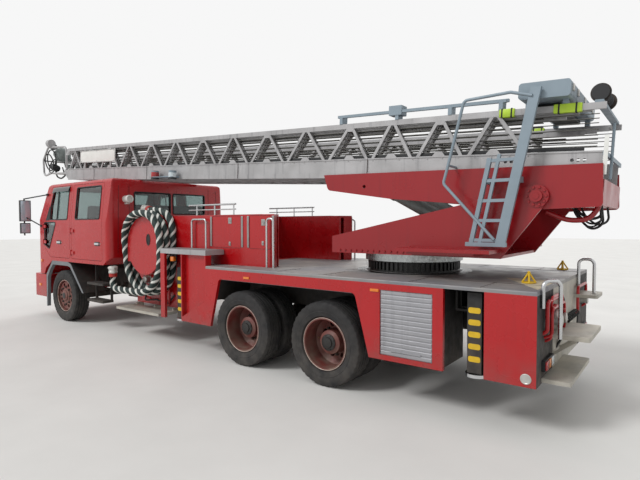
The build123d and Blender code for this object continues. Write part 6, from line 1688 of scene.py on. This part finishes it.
class FIRE_OT_rear_end(bpy.types.Operator):
    """Pipes, valves, the rear plate, stabiliser markings and small lamps"""
    bl_idname = "fire_engine.rear_end"
    bl_label = "Rear End and Bays"

    WALL = -3.5185
    # Place across, height and radius
    OUTLETS = ((0.50, 0.93, 0.042), (0.68, 0.93, 0.042), (0.86, 1.02, 0.034), (-0.72, 0.95, 0.042))
    # Distance out and share of the outlet's radius
    OUTLET = ((-0.002, 1.4), (0.010, 1.4), (0.012, 1), (0.075, 1), (0.078, 1.15), (0.10, 1.15), (0.104, 0.85))
    # Both ends across, top, foot, distance out and radius of each pipe
    PIPES = ((0.42, 1.02, 1.14, 0.84, 0.045, 0.017), (0.46, 0.98, 1.08, 0.80, 0.075, 0.013),
             (0.60, 0.94, 1.17, 0.76, 0.060, 0.012), (-0.40, -0.92, 1.12, 0.82, 0.05, 0.016))
    COIL_STEPS = 140
    COIL_LENGTH = 0.60
    COIL_R = 0.03
    REFLECTOR = ((-0.001, 0.046), (0.004, 0.045), (0.006, 0.038), (0.003, 0.034), (0.003, 0.002))
    PATCHES = (1.03, 0.92, 0.81, 0.70, 0.585)
    PATCH_HALF = (0.056, 0.026)
    LEGS = {"front_left": (1.317, 1), "front_right": (1.400, -1), "rear_left": (-2.988, 1),
            "rear_right": (-2.905, -1)}

    def execute(self, context):
        self.rear_wall()
        self.patches()
        self.bay_lamps()
        return {"FINISHED"}

    def rear_wall(self):
        """Outlets, pipes, a drain coil, the blank plate and the corner reflectors."""
        shape = Shape()
        for y, z, radius in self.OUTLETS:
            self.outlet(shape, at(self.WALL, y, z), radius)
        for y0, y1, high, low, reach, radius in self.PIPES:
            route = ((0, y0, low), (reach, y0, low + 0.02), (reach, y0, high), (reach, y1, high),
                     (reach, y1, low + 0.05), (0, y1, low + 0.02))
            self.pipe(shape, route, 0.05, radius, 10)
        shape.index = 4
        self.drain(shape)
        shape.index = 2
        shape.block(at(self.WALL - 0.010, -0.17, 0.60), at(self.WALL + 0.001, 0.17, 0.765), 0.004)
        shape.index = 3
        for y in (-0.1, 0.1):
            shape.disc(at(self.WALL - 0.009, y, 0.74), -X, 0.006, 0.003, 10)
        shape.index = 0
        for sign in (1, -1):
            shape.spin(self.REFLECTOR, at(-3.448, sign * HALF, 0.51), (0, sign, 0), 32)
        shape.finish("rear_wall_fittings", "root", "cast", "enamel", "white", "iron", "gasket")

    def pipe(self, shape, route, bend, radius, sides, steps=6):
        """A pipe whose points are its distance out from the wall, its place across and its height."""
        points = [at(self.WALL - out, y, z) for out, y, z in route]
        shape.tube(rounded(points, bend, steps), radius, sides)

    def outlet(self, shape, centre, radius):
        """A capped outlet, with a valve's spindle and hand wheel over it."""
        shape.index = 0
        profile = [(a, radius * share) for a, share in self.OUTLET] + [(0.104, 0.002)]
        shape.spin(profile, centre, -X, 28)
        shape.index = 1
        foot = centre - X * 0.05
        grip = foot + Z * (radius + 0.045)
        shape.tube([foot, grip], 0.008, 8)
        wheel = circle(grip, X * 0.035, Y * 0.035, 20)
        shape.tube(wheel, 0.006, 8, closed=True)
        for n in (0, 5):
            shape.tube([wheel[n], wheel[n + 10]], 0.004, 6)

    def drain(self, shape):
        """A coiled drain hose that runs down to a stub, and two more hoses."""
        hose = coil(at(self.WALL - 0.045, 0.24, 0.86), X * self.COIL_R, Z * self.COIL_R,
                    -Y * (self.COIL_LENGTH / self.COIL_STEPS), self.COIL_STEPS)
        shape.tube(hose, 0.008, 8)
        stub = ((0.04, -0.46, 0.84), (0.03, -0.5, 0.66), (0, -0.5, 0.6))
        run = [at(self.WALL - out, y, z) for out, y, z in stub]
        shape.tube(rounded([hose[-1]] + run, 0.05), 0.008, 8)
        for y in (0.36, 0.40):
            route = ((0, y, 1.15), (0.05, y, 1.10), (0.06, y, 0.75), (0, y + 0.1, 0.62))
            self.pipe(shape, route, 0.08, 0.010, 8, 8)

    def patches(self):
        """Five rounded yellow marks down each jack leg."""
        wide, tall = self.PATCH_HALF
        for name, (x, sign) in self.LEGS.items():
            shape = Shape()
            y0, y1 = sided(sign, 1.1805, 1.1822)
            for z in self.PATCHES:
                corners = [at(x + dx * wide, 0, z + dz * tall)
                           for dx, dz in ((-1, -1), (1, -1), (1, 1), (-1, 1))]
                shape.prism([(p.x, p.z) for p in loop(corners, 0.018, 4)], 1, y0, y1)
            shape.finish(f"jack_marks_{name}", f"stabiliser_{name}", "yellow")

    def bay_lamps(self):
        """An amber lamp on its rubber in each front bay."""
        shape = Shape()
        for sign in (1, -1):
            y0, y1 = sided(sign, 1.15, 1.198)
            shape.index = 0
            shape.block(at(1.45, y0, 1.275), at(1.53, y1, 1.345), 0.012)
            y0, y1 = sided(sign, 1.14, 1.152)
            shape.index = 1
            shape.block(at(1.44, y0, 1.262), at(1.54, y1, 1.389), 0.003)
        shape.finish("bay_lamps", "root", "amber", "gasket")


class FIRE_OT_stage(bpy.types.Operator):
    """A pale floor, soft studio light and a camera at the photograph's place"""
    bl_idname = "fire_engine.stage"
    bl_label = "Stage"

    FLOOR_REACH = 60.0
    # Name, strength, angle across in degrees and turns in degrees
    SUNS = (("key_sun", 1.7, 18, (48, 0, 150)), ("fill_sun", 0.7, 40, (60, 0, 20)))

    def execute(self, context):
        scene = context.scene
        scene.view_settings.view_transform = "Standard"
        floor_mesh = bpy.data.meshes.new("studio_floor")
        reach = self.FLOOR_REACH
        corners = [(-reach, -reach, 0), (reach, -reach, 0), (reach, reach, 0), (-reach, reach, 0)]
        floor_mesh.from_pydata(corners, [], [(0, 1, 2, 3)])
        floor = bpy.data.objects.new("studio_floor", floor_mesh)
        scene.collection.objects.link(floor)
        floor_mesh.materials.append(self.floor_finish())
        self.world(scene)
        for name, energy, angle, turn in self.SUNS:
            lamp = bpy.data.lights.new(name, "SUN")
            lamp.energy = energy
            lamp.angle = math.radians(angle)
            sun = bpy.data.objects.new(name, lamp)
            sun.rotation_euler = [math.radians(v) for v in turn]
            scene.collection.objects.link(sun)
        self.camera(scene)
        return {"FINISHED"}

    def floor_finish(self):
        made = bpy.data.materials.new("pale_concrete")
        made.use_nodes = True
        tree = made.node_tree
        surface = tree.nodes["Principled BSDF"]
        shade = blend(tree, span(tree, noise(tree, 900, 5.0), 0.3, 0.7), rgba("D6D5D2"), rgba("DDDCD9"))
        tree.links.new(shade, surface.inputs["Base Color"])
        surface.inputs["Roughness"].default_value = 0.8
        return made

    def world(self, scene):
        """White behind the object, and a plainer level of light on it."""
        world = bpy.data.worlds.new("studio")
        scene.world = world
        world.use_nodes = True
        tree = world.node_tree
        path = node(tree, "ShaderNodeLightPath")
        seen = path.outputs["Is Camera Ray"]
        for ray in ("Is Glossy Ray", "Is Transmission Ray"):
            larger = node(tree, "ShaderNodeMath", {0: seen, 1: path.outputs[ray]}, operation="MAXIMUM")
            seen = larger.outputs[0]
        level = node(tree, "ShaderNodeMapRange", {"Value": seen, "To Min": 0.62, "To Max": 0.93})
        back = tree.nodes["Background"]
        back.inputs["Color"].default_value = (1, 1, 1, 1)
        tree.links.new(level.outputs[0], back.inputs["Strength"])

    def camera(self, scene):
        data = bpy.data.cameras.new("photo_camera")
        data.sensor_fit = "HORIZONTAL"
        data.sensor_width = SENSOR_MM
        data.lens = FOCAL_PIXELS / PHOTO_WIDTH * SENSOR_MM
        data.clip_end = 200
        ahead = Vector((math.cos(LOOK_YAW) * math.cos(LOOK_PITCH), math.sin(LOOK_YAW) * math.cos(LOOK_PITCH),
                        math.sin(LOOK_PITCH)))
        right = ahead.cross(Z).normalized()
        up = right.cross(ahead)
        turned = Matrix.Rotation(LOOK_ROLL, 3, ahead)
        right, up = turned @ right, turned @ up
        axes = Matrix((right, up, -ahead)).transposed().to_4x4()
        eye = bpy.data.objects.new("photo_camera", data)
        eye.matrix_world = Matrix.Translation(EYE) @ axes
        scene.collection.objects.link(eye)
        scene.camera = eye


class FIRE_PT_panel(bpy.types.Panel):
    """Lists the steps that dress the fire engine"""
    bl_idname = "FIRE_PT_panel"
    bl_label = "Fire Engine"
    bl_space_type = "VIEW_3D"
    bl_region_type = "UI"
    bl_category = "Fire Engine"

    def draw(self, context):
        for operator in OPERATORS:
            self.layout.operator(operator.bl_idname)
        for group in (context.scene.engine_colours, context.scene.engine_sizes):
            for name in group.__annotations__:
                self.layout.prop(group, name)


OPERATORS = (FIRE_OT_stage, FIRE_OT_finishes, FIRE_OT_tyres, FIRE_OT_wheel_fittings, FIRE_OT_windows,
             FIRE_OT_cab_lamps, FIRE_OT_seats, FIRE_OT_dash, FIRE_OT_hose, FIRE_OT_pump_side,
             FIRE_OT_locker_trim, FIRE_OT_deck_trim, FIRE_OT_ladder_lines, FIRE_OT_boom_top,
             FIRE_OT_turntable, FIRE_OT_tip, FIRE_OT_rear_end)
GROUPS = (EngineColours, EngineSizes)


def register():
    for item in GROUPS + OPERATORS + (FIRE_PT_panel,):
        bpy.utils.register_class(item)
    bpy.types.Scene.engine_colours = bpy.props.PointerProperty(type=EngineColours)
    bpy.types.Scene.engine_sizes = bpy.props.PointerProperty(type=EngineSizes)


def unregister():
    del bpy.types.Scene.engine_colours
    del bpy.types.Scene.engine_sizes
    for item in reversed(GROUPS + OPERATORS + (FIRE_PT_panel,)):
        bpy.utils.unregister_class(item)


def main():
    register()
    for operator in OPERATORS:
        group, name = operator.bl_idname.split(".")
        getattr(getattr(bpy.ops, group), name)()


if __name__ == "__main__":
    main()
